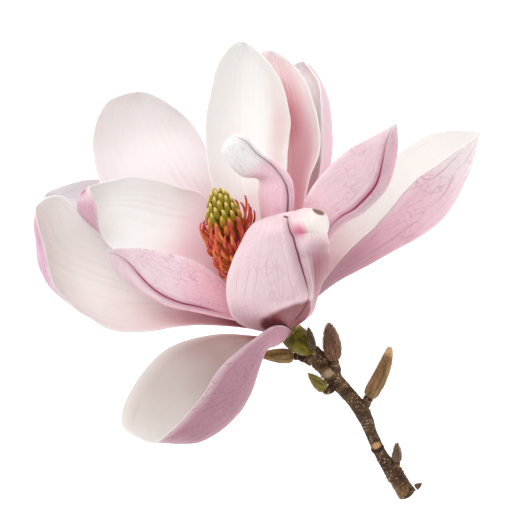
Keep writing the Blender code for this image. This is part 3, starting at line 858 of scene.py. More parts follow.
@dataclass(frozen=True)
class Finishes:
    """The skins that several tepals share."""

    inside: PetalSkin = PetalSkin()
    outside: PetalSkin = PetalSkin(
        base=paint(232, 158, 182),
        body=paint(243, 217, 224),
        tip=paint(247, 236, 237),
        claw_reach=0.1,
        base_reach=0.5,
        vein=paint(202, 142, 166),
        ribs=13.0,
        rib_strength=0.4,
        net_strength=0.5,
        hem=paint(250, 236, 238),
        hem_strength=0.4,
    )
    # a darker, greyer mauve than the other outer faces: partly the outer tepals' own colour, partly painted
    # shade of outer faces turned away from the lamps
    netted_shaded: PetalSkin = PetalSkin(
        base=paint(202, 142, 160),
        body=paint(186, 138, 152),
        tip=paint(224, 198, 204),
        claw_reach=0.06,
        base_reach=0.4,
        vein=paint(160, 104, 130),
        ribs=15.0,
        rib_strength=0.45,
        net_strength=0.62,
        net_scale=2.0,
        hem=paint(250, 232, 236),
        hem_strength=0.5,
    )


SKIN = Finishes()


PETALS = (
    Petal(
        name="tepal_upper_left",
        whorl=1,
        azimuth=190.0,
        point=0.0,
        rows=(
            ((-8.0, 16.5, 19.0), (-17.5, 10.0, 13.0), (-29.5, 3.5, 19.0)),
            ((-14.5, 29.5, 14.0), (-30.0, 25.5, 8.5), (-47.0, 16.5, 16.0)),
            ((-19.0, 40.5, 13.0), (-37.0, 38.0, 5.5), (-53.0, 34.5, 14.0)),
            ((-28.5, 50.0, 15.0), (-39.5, 48.5, 8.5), (-49.5, 48.5, 16.0)),
        ),
        tip=(-38.5, 53.5, 14.0),
        outer=SKIN.outside,
        inner=replace(SKIN.inside, base=paint(246, 230, 230), base_reach=0.35),
        ruffle=0.7,
    ),
    Petal(
        name="tepal_top",
        whorl=2,
        azimuth=158.0,
        point=0.1,
        rows=(
            ((9.0, 16.5, 32.0), (-2.0, 16.5, 23.5), (-12.0, 16.5, 31.5)),
            ((10.0, 31.0, 29.0), (-3.0, 34.5, 17.0), (-16.0, 34.0, 26.5)),
            ((11.0, 44.5, 26.5), (-3.0, 49.0, 14.0), (-15.5, 48.5, 24.5)),
            ((7.0, 57.5, 23.5), (-3.0, 62.0, 15.0), (-12.0, 62.5, 22.5)),
        ),
        tip=(-4.0, 69.5, 19.0),
        outer=SKIN.outside,
        inner=replace(
            SKIN.inside,
            base=paint(240, 212, 214),
            patches=(Patch(0.1, 0.45, 0.22, 0.4, paint(236, 206, 206), 0.8),),
        ),
        ruffle=0.5,
    ),
    Petal(
        name="tepal_top_right",
        whorl=1,
        azimuth=129.0,
        point=0.1,
        rows=(
            ((16.0, 19.5, 25.5), (10.0, 18.0, 13.0), (2.0, 16.5, 20.5)),
            ((20.5, 34.0, 25.5), (10.5, 34.5, 8.5), (-1.5, 34.5, 14.0)),
            ((19.0, 48.0, 22.5), (9.0, 50.0, 7.5), (-2.0, 51.0, 11.5)),
            ((13.5, 60.5, 16.0), (6.5, 61.5, 8.5), (-1.5, 63.5, 10.5)),
        ),
        tip=(5.0, 67.0, 11.5),
        outer=SKIN.outside,
        inner=replace(
            SKIN.inside,
            base=paint(253, 204, 210),
            body=paint(253, 232, 231),
            base_reach=0.75,
            tip_start=0.55,
            vein=paint(222, 146, 160),
            patches=(
                # rose band down the middle: partly the inner face's own rose, partly painted shade of the
                # concave hollow
                Patch(0.5, 0.48, 0.35, 0.2, paint(228, 124, 134), 0.75),
                Patch(0.05, 0.6, 0.18, 0.6, WHITE, 0.85),
            ),
        ),
        ruffle=0.4,
    ),
    Petal(
        name="tepal_back_right",
        whorl=0,
        azimuth=155.0,
        point=0.3,
        rows=(
            ((19.5, 21.5, 23.5), (20.5, 18.5, 5.5), (9.5, 16.5, 7.5)),
            ((21.0, 34.0, 23.5), (23.5, 35.0, 2.0), (8.5, 35.0, 3.0)),
            ((21.0, 50.5, 19.5), (22.5, 48.5, 1.5), (8.0, 49.5, 2.0)),
            ((19.5, 58.0, 12.0), (18.5, 60.0, 2.0), (10.5, 61.0, 2.5)),
        ),
        tip=(15.5, 64.0, 4.5),
        outer=replace(
            SKIN.outside, base=paint(200, 140, 160), body=paint(206, 176, 184), tip=paint(214, 192, 198)
        ),
        inner=SKIN.inside,
        ruffle=0.4,
    ),
    Petal(
        name="tepal_mid_left",
        whorl=2,
        azimuth=220.0,
        point=0.3,
        rows=(
            (
                (-13.5, 16.0, 23.0), (-15.0, 11.5, 21.5), (-17.0, 6.5, 22.0),
                (-19.0, 1.0, 25.0), (-21.0, -5.0, 31.0),
            ),
            (
                (-26.0, 22.5, 22.5), (-28.5, 18.0, 19.0), (-31.5, 11.0, 18.0),
                (-34.5, 4.5, 21.0), (-37.5, -1.5, 27.5),
            ),
            (
                (-39.0, 25.5, 21.5), (-42.0, 20.0, 18.5), (-44.5, 14.5, 18.0),
                (-46.5, 8.5, 20.0), (-47.0, 3.0, 26.0),
            ),
            (
                (-48.0, 24.0, 22.0), (-52.5, 18.0, 19.0), (-55.0, 14.0, 20.5),
                (-54.0, 11.0, 25.0), (-50.5, 9.5, 28.0),
            ),
            (
                (-51.5, 23.0, 24.5), (-55.5, 20.5, 22.5), (-57.0, 18.0, 24.0),
                (-55.5, 16.5, 28.0), (-51.0, 16.0, 30.0),
            ),
        ),
        tip=(-53.5, 22.0, 27.5),
        outer=replace(
            SKIN.outside,
            body=paint(222, 178, 194),
            patches=(Patch(0.45, 0.88, 0.5, 0.1, paint(176, 84, 118), 0.9),),
        ),
        inner=SKIN.inside,
        ruffle=0.5,
    ),
    Petal(
        name="tepal_left_back",
        whorl=0,
        azimuth=212.0,
        point=0.2,
        rows=(
            ((-13.5, 11.0, 8.5), (-18.5, 3.5, 4.5), (-21.5, -6.0, 8.5)),
            ((-33.0, 21.0, 4.0), (-40.0, 10.0, 0.3), (-44.5, -2.0, 3.0)),
            ((-49.5, 25.0, 4.5), (-56.5, 17.0, 0.3), (-61.0, 7.0, 2.5)),
            ((-59.5, 24.0, 5.5), (-65.0, 18.5, 2.0), (-68.5, 14.5, 4.0)),
        ),
        tip=(-69.0, 20.5, 4.0),
        outer=replace(SKIN.outside, body=paint(244, 238, 236), tip=paint(242, 242, 240)),
        inner=replace(SKIN.inside, base=paint(236, 250, 246), body=paint(238, 252, 249)),
        ruffle=0.4,
    ),
    Petal(
        name="tepal_left_outer",
        whorl=1,
        azimuth=251.0,
        point=0.3,
        rows=(
            ((-15.5, -9.5, 26.5), (-16.5, -15.0, 22.5), (-18.0, -22.0, 30.0)),
            ((-37.5, 0.5, 21.5), (-45.5, -12.5, 16.0), (-45.0, -24.0, 28.5)),
            ((-53.0, 10.0, 19.5), (-67.8, -3.2, 12.5), (-62.5, -12.0, 27.5)),
            ((-62.5, 19.5, 20.5), (-70.6, 8.0, 17.2), (-68.3, 3.5, 26.5)),
        ),
        tip=(-71.0, 16.0, 22.5),
        outer=replace(SKIN.netted_shaded, body=paint(206, 160, 182)),
        inner=replace(
            SKIN.inside,
            claw=paint(118, 28, 46),
            base=paint(218, 142, 158),
            body=paint(245, 239, 236),
            claw_reach=0.22,
            base_reach=0.4,
            vein=paint(210, 140, 158),
        ),
        ruffle=0.6,
    ),
    Petal(
        name="tepal_left_inner",
        whorl=2,
        azimuth=290.0,
        point=0.6,
        rows=(
            ((-16.5, -18.0, 34.0), (-18.0, -15.0, 40.5), (-15.0, -4.0, 42.5)),
            ((-31.5, -14.5, 32.0), (-30.5, -11.0, 38.5), (-28.0, 1.0, 40.5)),
            ((-43.0, -7.0, 30.0), (-40.0, -3.0, 35.5), (-39.5, 2.5, 37.5)),
        ),
        tip=(-48.5, 1.5, 33.0),
        outer=replace(
            SKIN.outside,
            base=paint(253, 180, 198),
            base_reach=0.42,
            groove=paint(164, 24, 88),
            groove_span=(0.1, 0.96),
            groove_width=0.045,
            halo=0.7,
            patches=(
                Patch(0.12, 0.35, 0.24, 0.32, paint(230, 144, 168), 0.85),
                Patch(0.6, 0.97, 0.4, 0.06, WHITE, 0.9),
            ),
        ),
        inner=SKIN.inside,
        midrib=((0.0, 0.5), (0.27, 0.4), (0.42, 0.45), (0.6, 0.48), (0.73, 0.62), (0.83, 0.76), (1.0, 0.8)),
        groove_depth=0.5,
        ruffle=0.4,
    ),
    Petal(
        name="tepal_bottom",
        whorl=0,
        azimuth=340.0,
        point=0.0,
        rows=(
            ((2.5, -25.8, 34.8), (7.0, -27.8, 42.0), (6.0, -21.9, 50.5)),
            ((-13.0, -25.0, 35.0), (1.5, -30.5, 39.0), (-1.0, -26.5, 50.0)),
            ((-29.0, -30.0, 35.0), (-2.5, -42.5, 39.0), (-10.5, -34.0, 53.0)),
            ((-40.0, -43.0, 35.0), (-9.5, -52.5, 39.0), (-17.0, -44.0, 53.0)),
            ((-42.5, -54.0, 38.0), (-19.5, -58.5, 42.0), (-26.5, -55.0, 50.0)),
        ),
        tip=(-33.5, -59.0, 45.0),
        outer=SKIN.netted_shaded,
        # inner face greyer and darker towards its base: partly its own rose base, mostly painted shade cast
        # by the tepals that lie over it
        inner=replace(
            SKIN.inside,
            claw=paint(128, 56, 70),
            base=paint(150, 70, 68),
            body=paint(210, 199, 194),
            tip=paint(234, 233, 228),
            claw_reach=0.16,
            base_reach=0.6,
            tip_start=0.4,
            vein=paint(190, 160, 158),
        ),
        ruffle=0.6,
    ),
    Petal(
        name="tepal_right_outer",
        whorl=0,
        azimuth=94.0,
        point=0.6,
        rows=(
            ((26.0, -2.0, 42.5), (24.0, -9.0, 28.0), (19.0, -2.0, 28.0)),
            ((37.5, 9.5, 46.0), (42.5, 1.5, 28.0), (28.5, 16.5, 26.5)),
            ((48.0, 22.0, 48.0), (59.0, 12.0, 30.0), (41.5, 29.0, 28.0)),
            ((60.0, 31.0, 48.0), (67.5, 27.0, 35.5), (55.5, 39.0, 34.0)),
        ),
        tip=(70.5, 39.0, 45.0),
        # outer face darker towards the claw: partly its own crimson and rose, partly painted shade of the
        # lower part turned away from the lamps
        outer=replace(
            SKIN.outside,
            claw=paint(116, 28, 54),
            base=paint(226, 146, 168),
            body=paint(243, 212, 219),
            tip=paint(250, 242, 240),
            claw_reach=0.5,
            base_reach=0.75,
            tip_start=0.5,
            vein=paint(168, 106, 132),
            ribs=9.0,
            rib_strength=0.6,
            net_strength=0.34,
        ),
        inner=replace(SKIN.inside, base=paint(228, 186, 194), base_reach=0.4),
        ruffle=0.5,
    ),
    Petal(
        name="tepal_right_inner",
        whorl=2,
        azimuth=10.0,
        point=0.8,
        rows=(
            ((14.0, 13.0, 50.0), (22.0, 7.5, 56.5), (25.0, 7.5, 51.5)),
            ((19.5, 24.0, 48.0), (31.5, 15.5, 56.5), (34.0, 14.5, 52.5)),
            ((28.5, 33.0, 48.0), (38.0, 23.0, 57.5), (41.5, 23.0, 53.5)),
            ((36.5, 37.5, 51.5), (41.0, 33.5, 57.5), (44.5, 33.0, 53.5)),
        ),
        tip=(44.0, 41.5, 54.5),
        outer=replace(
            SKIN.outside,
            base=paint(228, 172, 186),
            body=paint(224, 196, 203),
            base_reach=0.35,
            groove=paint(172, 22, 88),
            groove_span=(0.16, 0.99),
            groove_width=0.045,
            halo=0.6,
            patches=(
                Patch(0.85, 0.7, 0.34, 0.35, paint(234, 168, 190), 0.7),
                Patch(0.15, 0.97, 0.3, 0.07, WHITE, 0.95),
            ),
        ),
        inner=SKIN.inside,
        midrib=((0.0, 0.52), (0.5, 0.5), (0.68, 0.46), (0.78, 0.38), (0.9, 0.28), (1.0, 0.25)),
        groove_depth=0.6,
        ruffle=0.4,
    ),
    Petal(
        name="tepal_front",
        whorl=1,
        azimuth=337.0,
        point=0.0,
        rows=(
            (
                (-5.0, -21.5, 40.0), (2.0, -22.0, 42.5), (9.0, -21.5, 42.5),
                (14.0, -20.5, 42.0), (17.5, -18.5, 40.5),
            ),
            (
                (-9.0, -15.0, 49.0), (0.5, -15.5, 58.0), (14.5, -13.5, 62.0),
                (17.5, -13.0, 60.0), (19.5, -11.5, 54.0),
            ),
            (
                (-9.0, -7.0, 54.0), (2.0, -6.0, 64.0), (14.0, -5.0, 68.0),
                (18.5, -4.5, 66.0), (22.5, -3.0, 60.0),
            ),
            ((-6.0, 1.0, 58.0), (3.0, 2.5, 67.0), (12.5, 2.5, 71.0), (18.0, 3.0, 70.5), (22.5, 2.5, 63.0)),
            ((-2.0, 8.5, 60.0), (4.0, 8.0, 68.0), (10.5, 7.5, 71.0), (17.0, 8.5, 73.0), (23.0, 8.0, 66.0)),
            (
                (2.0, 11.5, 59.0), (6.0, 12.0, 62.0), (10.0, 12.0, 65.0),
                (15.5, 14.0, 68.0), (21.0, 14.0, 64.0),
            ),
        ),
        tip=(13.0, 14.0, 61.0),
        outer=replace(
            SKIN.outside,
            base=paint(234, 180, 196),
            body=paint(236, 210, 215),
            base_reach=0.35,
            ribs=17.0,
            rib_strength=0.5,
            net_strength=0.25,
            groove=paint(128, 34, 64),
            groove_span=(0.22, 0.82),
            groove_width=0.022,
            halo=0.4,
            patches=(
                # painted shade: the darker mauve of the blade's right half below its ridge, which turns away
                # from the lamps
                Patch(0.86, 0.34, 0.34, 0.26, paint(158, 92, 104), 0.95, 0.4),
                # painted shade: a thin mauve band just under the ridge, where the blade turns down
                Patch(0.74, 0.45, 0.3, 0.05, paint(176, 124, 140), 0.6),
                # the cream lobe: partly the tip's own pale colour, partly painted light where the lobe faces
                # up to the lamps
                Patch(0.8, 0.66, 0.36, 0.17, paint(253, 243, 236), 1.0),
                Patch(0.6, 0.63, 0.13, 0.1, paint(218, 112, 144), 0.95),
                Patch(0.5, 0.1, 0.32, 0.15, paint(124, 16, 30), 1.0, 0.85),
                Patch(0.9, 0.77, 0.09, 0.05, paint(104, 72, 22), 1.0, 0.6),
                Patch(0.47, 0.78, 0.05, 0.022, paint(122, 78, 34), 1.0, 0.6),
            ),
        ),
        inner=SKIN.inside,
        midrib=((0.0, 0.6), (0.18, 0.62), (0.3, 0.54), (0.42, 0.5), (0.77, 0.5), (1.0, 0.48)),
        swells=(Swell(0.76, 0.5, 0.28, 0.035, 1.3), Swell(0.76, 0.6, 0.26, 0.05, -1.8)),
        groove_depth=0.6,
        ruffle=0.4,
    ),
    Petal(
        name="tepal_centre_inner",
        whorl=3,
        azimuth=345.0,
        point=0.1,
        rows=(
            ((3.0, -6.5, 42.5), (4.2, -6.5, 45.2), (6.0, -6.5, 46.8), (7.7, -6.0, 46.8), (8.6, -6.2, 44.4)),
            ((2.6, 4.0, 47.5), (4.2, 4.3, 50.6), (6.6, 5.0, 52.8), (9.6, 6.0, 53.4), (10.9, 6.0, 50.6)),
            ((1.6, 12.8, 50.8), (4.0, 13.3, 54.0), (7.0, 14.2, 56.4), (10.5, 15.0, 57.2), (11.8, 15.0, 54.0)),
            ((0.9, 19.1, 51.5), (3.5, 19.6, 55.5), (7.0, 20.3, 57.8), (10.3, 20.7, 58.3), (11.6, 21.9, 55.0)),
            ((0.9, 24.1, 52.5), (3.2, 24.2, 56.0), (6.0, 24.4, 58.0), (8.5, 24.7, 58.8), (10.3, 25.6, 55.8)),
            (
                (-4.1, 25.0, 56.5), (-1.2, 26.2, 58.3), (2.2, 27.8, 59.2),
                (5.0, 28.9, 59.6), (6.3, 29.3, 57.0),
            ),
            (
                (-7.5, 27.6, 59.2), (-4.5, 29.0, 60.6), (-1.6, 30.8, 61.0),
                (0.6, 31.9, 60.8), (1.7, 32.5, 58.5),
            ),
            (
                (-9.7, 30.7, 61.0), (-7.2, 32.0, 62.3), (-4.5, 34.0, 62.8),
                (-2.6, 35.3, 62.2), (-1.4, 35.6, 60.0),
            ),
            (
                (-10.6, 33.2, 61.6), (-9.0, 34.2, 62.3), (-6.8, 35.4, 62.8),
                (-5.0, 36.6, 62.4), (-3.4, 37.6, 61.0),
            ),
        ),
        tip=(-8.0, 37.4, 61.4),
        outer=replace(
            SKIN.outside,
            base=paint(246, 188, 206),
            body=paint(250, 214, 224),
            tip=WHITE,
            tip_start=0.5,
            tip_end=0.6,
            net_strength=0.35,
            groove=paint(112, 34, 58),
            groove_span=(0.08, 0.9),
            groove_width=0.055,
            halo=0.45,
        ),
        inner=SKIN.inside,
        midrib=((0.0, 0.55), (0.2, 0.72), (1.0, 0.73)),
        groove_depth=0.4,
        ruffle=0.3,
    ),
)


@dataclass(frozen=True)
class StrapSkin:
    """The finish of a stamen: its colours from root to tip, and the colours that single straps lean to."""

    root: Colour = paint(236, 148, 76)
    middle: Colour = paint(230, 104, 74)
    tip: Colour = paint(172, 74, 104)
    amber: Colour = paint(244, 168, 84)
    ruby: Colour = paint(188, 44, 52)
    middle_reach: tuple[float, float] = (0.15, 0.6)
    amber_marks: tuple[float, float] = (0.55, 1.0)
    ruby_marks: tuple[float, float] = (0.4, 0.0)
    tip_reach: tuple[float, float] = (0.78, 0.98)
    tip_stray: float = 0.3
    strengths: tuple[float, float, float] = (0.75, 0.7, 0.7)
    grain_scale: float = 2600.0

    def build(self, name: str) -> bpy.types.Material:
        """Makes the material; the UV map holds a mark of the strap and the place along it."""
        bench = Bench(name)
        mark, along = bench.chart()
        grain = bench.cloud(bench.place(), self.grain_scale)
        amber, ruby, tip = self.strengths
        colour = bench.mix(along.step(*self.middle_reach), self.root, self.middle)
        colour = bench.mix(mark.step(*self.amber_marks) * amber, colour, self.amber)
        colour = bench.mix(mark.step(*self.ruby_marks) * ruby, colour, self.ruby)
        ragged = along + (grain - MEAN) * self.tip_stray
        colour = bench.mix(ragged.step(*self.tip_reach) * tip, colour, self.tip)
        return bench.finish(colour, grain * 0.2 + 0.3, grain, 0.05, Subsurface_Weight=0.1, **FLESHY)


@dataclass(frozen=True)
class StyleSkin:
    """The finish of a carpel: green at its foot, a pale yellow painted highlight at its tip, and orange-brown
    low on the cone.
    """

    foot: Colour = paint(104, 88, 14)
    middle: Colour = paint(146, 126, 18)
    # painted highlight: the pale yellow at the style tips stands for the light that they catch
    tip: Colour = paint(238, 218, 128)
    low_foot: Colour = paint(176, 78, 30)
    low_tip: Colour = paint(226, 146, 66)
    middle_reach: tuple[float, float] = (0.0, 0.45)
    tip_reach: tuple[float, float] = (0.55, 0.95)
    tip_stray: float = 0.3
    brown_reach: tuple[float, float] = (0.2, 0.9)
    brown_climb: tuple[float, float] = (0.42, 0.12)
    brown_stray: float = 0.1
    grain_scale: float = 2200.0

    def build(self, name: str) -> bpy.types.Material:
        """Makes the material; the UV map holds how high the carpel sits and the place along it."""
        bench = Bench(name)
        climb, along = bench.chart()
        grain = bench.cloud(bench.place(), self.grain_scale)
        stray = grain - MEAN
        green = bench.mix(along.step(*self.middle_reach), self.foot, self.middle)
        # painted highlight over the tips of the green styles
        green = bench.mix((along + stray * self.tip_stray).step(*self.tip_reach), green, self.tip)
        brown = bench.mix(along.step(*self.brown_reach), self.low_foot, self.low_tip)
        colour = bench.mix((climb + stray * self.brown_stray).step(*self.brown_climb), green, brown)
        return bench.finish(colour, grain * 0.2 + 0.32, grain, 0.05, Subsurface_Weight=0.12, **FLESHY)


@dataclass(frozen=True)
class StemSkin:
    """The finish of green stem tissue: two greens, with fine streaks along it."""

    light: Colour = paint(124, 112, 8)
    dark: Colour = paint(64, 52, 2)
    streaks: tuple[float, float] = (26.0, 3.0)
    cloud_scale: float = 260.0
    fine_scale: float = 2400.0
    contrast: tuple[float, float] = (0.35, 0.65)

    def build(self, name: str) -> bpy.types.Material:
        """Makes the material."""
        bench = Bench(name)
        place = bench.place()
        cloud = bench.cloud(place, self.cloud_scale, 3.0)
        lines = bench.swirl(bench.chart(), self.streaks)
        fine = bench.cloud(place, self.fine_scale)
        colour = bench.mix((cloud * 0.6 + lines * 0.4).step(*self.contrast), self.dark, self.light)
        return bench.finish(colour, fine * 0.2 + 0.42, lines * 0.6 + fine * 0.4, 0.1, **DULL)


@dataclass(frozen=True)
class BarkSkin:
    """The finish of the twig: purple-brown to grey bark, pale flecks, and rings where scales have stood."""

    light: Colour = paint(130, 98, 64)
    dark: Colour = paint(56, 36, 24)
    purple: Colour = paint(60, 38, 30)
    fleck: Colour = paint(218, 200, 168)
    patches: tuple[Patch, ...] = (
        Patch(0.49, 0.315, 0.16, 0.02, paint(208, 160, 112), 1.0, 0.5),
        Patch(0.52, 0.29, 0.25, 0.012, paint(48, 34, 30), 0.9, 0.4),
        Patch(0.5, 0.83, 0.4, 0.03, paint(196, 170, 134), 0.8, 0.2),
    )
    patch_stray: float = 0.6
    cloud_scale: float = 240.0
    fine_scale: float = 1800.0
    ring_swells: tuple[float, float] = (3.0, 150.0)
    contrast: tuple[float, float] = (0.38, 0.62)
    purple_start: tuple[float, float] = (0.02, 0.16)
    purple_end: tuple[float, float] = (0.72, 0.6)
    purple_strength: float = 0.6
    flake_cells: tuple[float, float] = (14.0, 120.0)
    flake_size: tuple[float, float] = (0.35, 0.12)
    flake_clumps: tuple[float, float] = (0.4, 0.6)
    flake_strength: float = 0.75
    pits: tuple[float, float] = (0.55, 0.8)
    pit_strength: float = 0.45
    depth: float = 0.25

    def build(self, name: str) -> bpy.types.Material:
        """Makes the material; the UV map runs round the twig and along it."""
        bench = Bench(name)
        around, along = chart = bench.chart()
        place = bench.place()
        cloud = bench.cloud(place, self.cloud_scale, 3.0)
        fine = bench.cloud(place, self.fine_scale, 3.0, 0.65)
        rings = bench.swirl(chart, self.ring_swells)
        flake_place = bench.vector(around * self.flake_cells[0], along * self.flake_cells[1])
        flakes = bench.cells(flake_place, 1.0, "F1").step(*self.flake_size)
        colour = bench.mix((cloud * 0.55 + rings * 0.45).step(*self.contrast), self.dark, self.light)
        purple = along.step(*self.purple_end) * along.step(*self.purple_start) * self.purple_strength
        colour = bench.mix(purple, colour, self.purple)
        clumps = cloud.step(*self.flake_clumps) * self.flake_strength
        colour = bench.mix(flakes * clumps, colour, self.fleck)
        for patch in self.patches:
            colour = patch.laid(bench, colour, chart, (fine - MEAN) * self.patch_stray)
        colour = bench.mix(fine.step(*self.pits) * self.pit_strength, colour, self.dark)
        height = fine * 0.5 + rings * 0.5 - flakes * 0.2
        return bench.finish(colour, fine * 0.25 + 0.6, height, self.depth, **DULL)


@dataclass(frozen=True)
class WoodSkin:
    """The finish of cut wood or of bud scales: two tones, streaked along the piece."""

    light: Colour = paint(186, 160, 118)
    dark: Colour = paint(110, 84, 54)
    crown: Colour = paint(226, 190, 136)
    crown_start: float = 2.0
    crown_blend: float = 0.12
    crown_stray: float = 0.4
    streaks: float = 20.0
    streak_length: float = 2.5
    fine_scale: float = 2400.0
    contrast: tuple[float, float] = (0.36, 0.66)
    depth: float = 0.15

    def build(self, name: str) -> bpy.types.Material:
        """Makes the material; the crown colours what lies past its start along the piece."""
        bench = Bench(name)
        chart = bench.chart()
        lines = bench.swirl(chart, (self.streaks, self.streak_length), detail=3.0)
        fine = bench.cloud(bench.place(), self.fine_scale, 3.0, 0.6)
        height = lines * 0.6 + fine * 0.4
        colour = bench.mix(height.step(*self.contrast), self.dark, self.light)
        ragged = chart[1] + (fine - MEAN) * self.crown_stray
        crown = ragged.step(self.crown_start, self.crown_start + self.crown_blend)
        colour = bench.mix(crown, colour, self.crown)
        return bench.finish(colour, fine * 0.2 + 0.55, height, self.depth, Sheen_Weight=0.05, **DULL)


@dataclass
class StamenHead:
    """The stamens: rings of narrow straps round a column, the upper ones erect on one side, the tuft.

    Curls and erect are added to a strap's lean, piece by piece, outside the tuft and in it; runs are the
    pieces' shares of its length.
    """

    foot: float = 22.0
    top: float = 41.0
    column_radius: float = 3.4
    column_foot: float = 11.3
    column_rows: int = 24
    rings: int = 10
    straps_a_ring: int = 16
    azimuth_stray: float = 7.0
    length: float = 12.0
    length_shares: tuple[float, float, float] = (0.52, 0.4, 0.22)
    length_spread: tuple[float, float] = (0.85, 1.1)
    leans: tuple[float, float] = (64.0, 44.0)
    curls: tuple[float, ...] = (10.0, -8.0, -42.0, -92.0)
    erect: tuple[float, ...] = (4.0, -10.0, -20.0, -34.0)
    runs: tuple[float, ...] = (0.32, 0.28, 0.22, 0.18)
    vigours: tuple[float, float] = (0.75, 1.25)
    twist: float = 0.22
    roll: float = 0.5
    root: float = 0.6
    tuft_azimuth: float = 80.0
    tuft_mark: float = 0.6
    marks: tuple[float, float] = (0.1, 1.0)
    headroom: float = 2.0
    wide: float = 0.54
    deep: float = 0.34
    outline: tuple[float, ...] = (0.8, 0.8, 0.95, 1.05, 1.05, 0.95, 0.6)
    seed: int = 7
    skin: StrapSkin = field(default_factory=StrapSkin)

    def column(self) -> bpy.types.Object:
        """The column that the straps spring from."""
        path = AXIS.line(self.column_foot, self.top, self.column_rows)
        return clad("stamen_column", sheath(path, np.full(len(path), self.column_radius), UP, 24))

    def strap_path(
        self, height: float, azimuth: float, lean: float, tuft: float, length: float, draw: random.Random
    ) -> tuple[Array, Array]:
        """The way of one strap.

        Args:
            height: how far up the flower's axis the strap is rooted.
            azimuth: where it is rooted round the axis, in degrees.
            lean: how far its foot leans out, in degrees.
            tuft: how much it belongs to the upright tuft, from 0 to 1.
            length: how long it is, in millimetres.
            draw: the source of chance.

        Returns:
            The middle line of the strap, and the direction of its breadth.
        """
        outward, sideways = AXIS.spoke(height, azimuth)
        up = AXIS.tangent(height)
        path = [AXIS.point(height) + (self.column_radius - self.root) * outward]
        twist = self.twist * draw.uniform(-1, 1)
        vigour = draw.uniform(*self.vigours)
        for curl, erect, run in zip(self.curls, self.erect, self.runs):
            bend = (1 - tuft) * curl + tuft * erect
            angle = math.radians(lean + bend * vigour)
            stride = math.sin(angle) * outward + math.cos(angle) * up + twist * sideways
            path.append(path[-1] + run * length * unit(stride))
        return np.array(path), unit(sideways + self.roll * draw.uniform(-1, 1) * up)

    def build(self) -> bpy.types.Object:
        """Plants every strap and joins them to their column."""
        draw = random.Random(self.seed)
        template = prism("strap", self.outline, 6, 10)
        pieces = [self.column()]
        base, climbing, tufted = self.length_shares
        for ring in range(self.rings):
            climb = ring / (self.rings - 1)
            height = self.foot + climb * (self.top - self.headroom - self.foot)
            lean = self.leans[0] + climb * (self.leans[1] - self.leans[0])
            for step in range(self.straps_a_ring):
                azimuth = 360.0 * (step + 0.5 * (ring % 2)) / self.straps_a_ring
                azimuth += self.azimuth_stray * draw.uniform(-1, 1)
                tuft = climb * max(0.0, math.cos(math.radians(azimuth - self.tuft_azimuth)))
                share = base + climbing * climb + tufted * tuft
                length = self.length * share * draw.uniform(*self.length_spread)
                path, side = self.strap_path(height, azimuth, lean, tuft, length, draw)
                mark = min(1.0, max(0.0, draw.uniform(*self.marks) - self.tuft_mark * tuft))
                pieces.append(grown(template, path, side, self.wide, self.deep, mark))
        discard(template)
        dress(pieces, self.skin.build("stamens_finish"))
        return joined(pieces, "stamen_head")


@dataclass
class CarpelCone:
    """The cone of carpels in a spiral, each with a style that curls outward at its tip.

    The style's way is given as steps outward and upward from the cone's side.
    """

    carpels: int = 48
    turn: float = 137.5
    turn_stray: float = 5.0
    cone_radius: float = 4.2
    cone_rows: int = 24
    foot: float = 41.3
    lowest: float = 1.0
    highest: float = 0.5
    headroom: float = 3.0
    taper: float = 0.7
    style: tuple[tuple[float, float], ...] = ((-0.9, -0.3), (0.5, 0.8), (1.15, 2.3), (1.05, 3.6), (0.75, 4.5))
    tip_stray: tuple[float, float] = (0.4, 0.25)
    closing: float = 0.45
    wide: float = 1.15
    deep: float = 0.75
    outline: tuple[float, ...] = (0.9, 1.1, 1.15, 0.95, 0.7, 0.5, 0.22)
    seed: int = 8
    skin: StyleSkin = field(default_factory=StyleSkin)

    def radius(self, climb: Array | float) -> Array | float:
        """The cone's radius at a share of its height."""
        return self.cone_radius * (1 - self.taper * climb**2)

    def build(self) -> bpy.types.Object:
        """Sets the carpels on their cone."""
        draw = random.Random(self.seed)
        top = AXIS.length - self.headroom
        path = AXIS.line(self.foot, top, self.cone_rows)
        pieces = [clad("cone", sheath(path, self.radius(np.linspace(0, 1, self.cone_rows)), UP, 24))]
        template = prism("carpel", self.outline, 8, 9)
        aside, out_stray = self.tip_stray
        for k in range(self.carpels):
            climb = k / (self.carpels - 1)
            height = self.foot + self.lowest + climb * (top - self.foot - self.lowest - self.highest)
            outward, sideways = AXIS.spoke(height, k * self.turn + self.turn_stray * draw.uniform(-1, 1))
            up = AXIS.tangent(height)
            surface = AXIS.point(height) + self.radius(climb) * outward
            spread = 1.0 - self.closing * climb
            line = np.array([surface + spread * out * outward + rise * up for out, rise in self.style])
            line[-1] += aside * draw.uniform(-1, 1) * sideways + out_stray * draw.uniform(-1, 1) * outward
            pieces.append(grown(template, line, sideways, self.wide, self.deep, climb))
        discard(template)
        dress(pieces, self.skin.build("gynoecium_finish"))
        return joined(pieces, "carpel_cone")


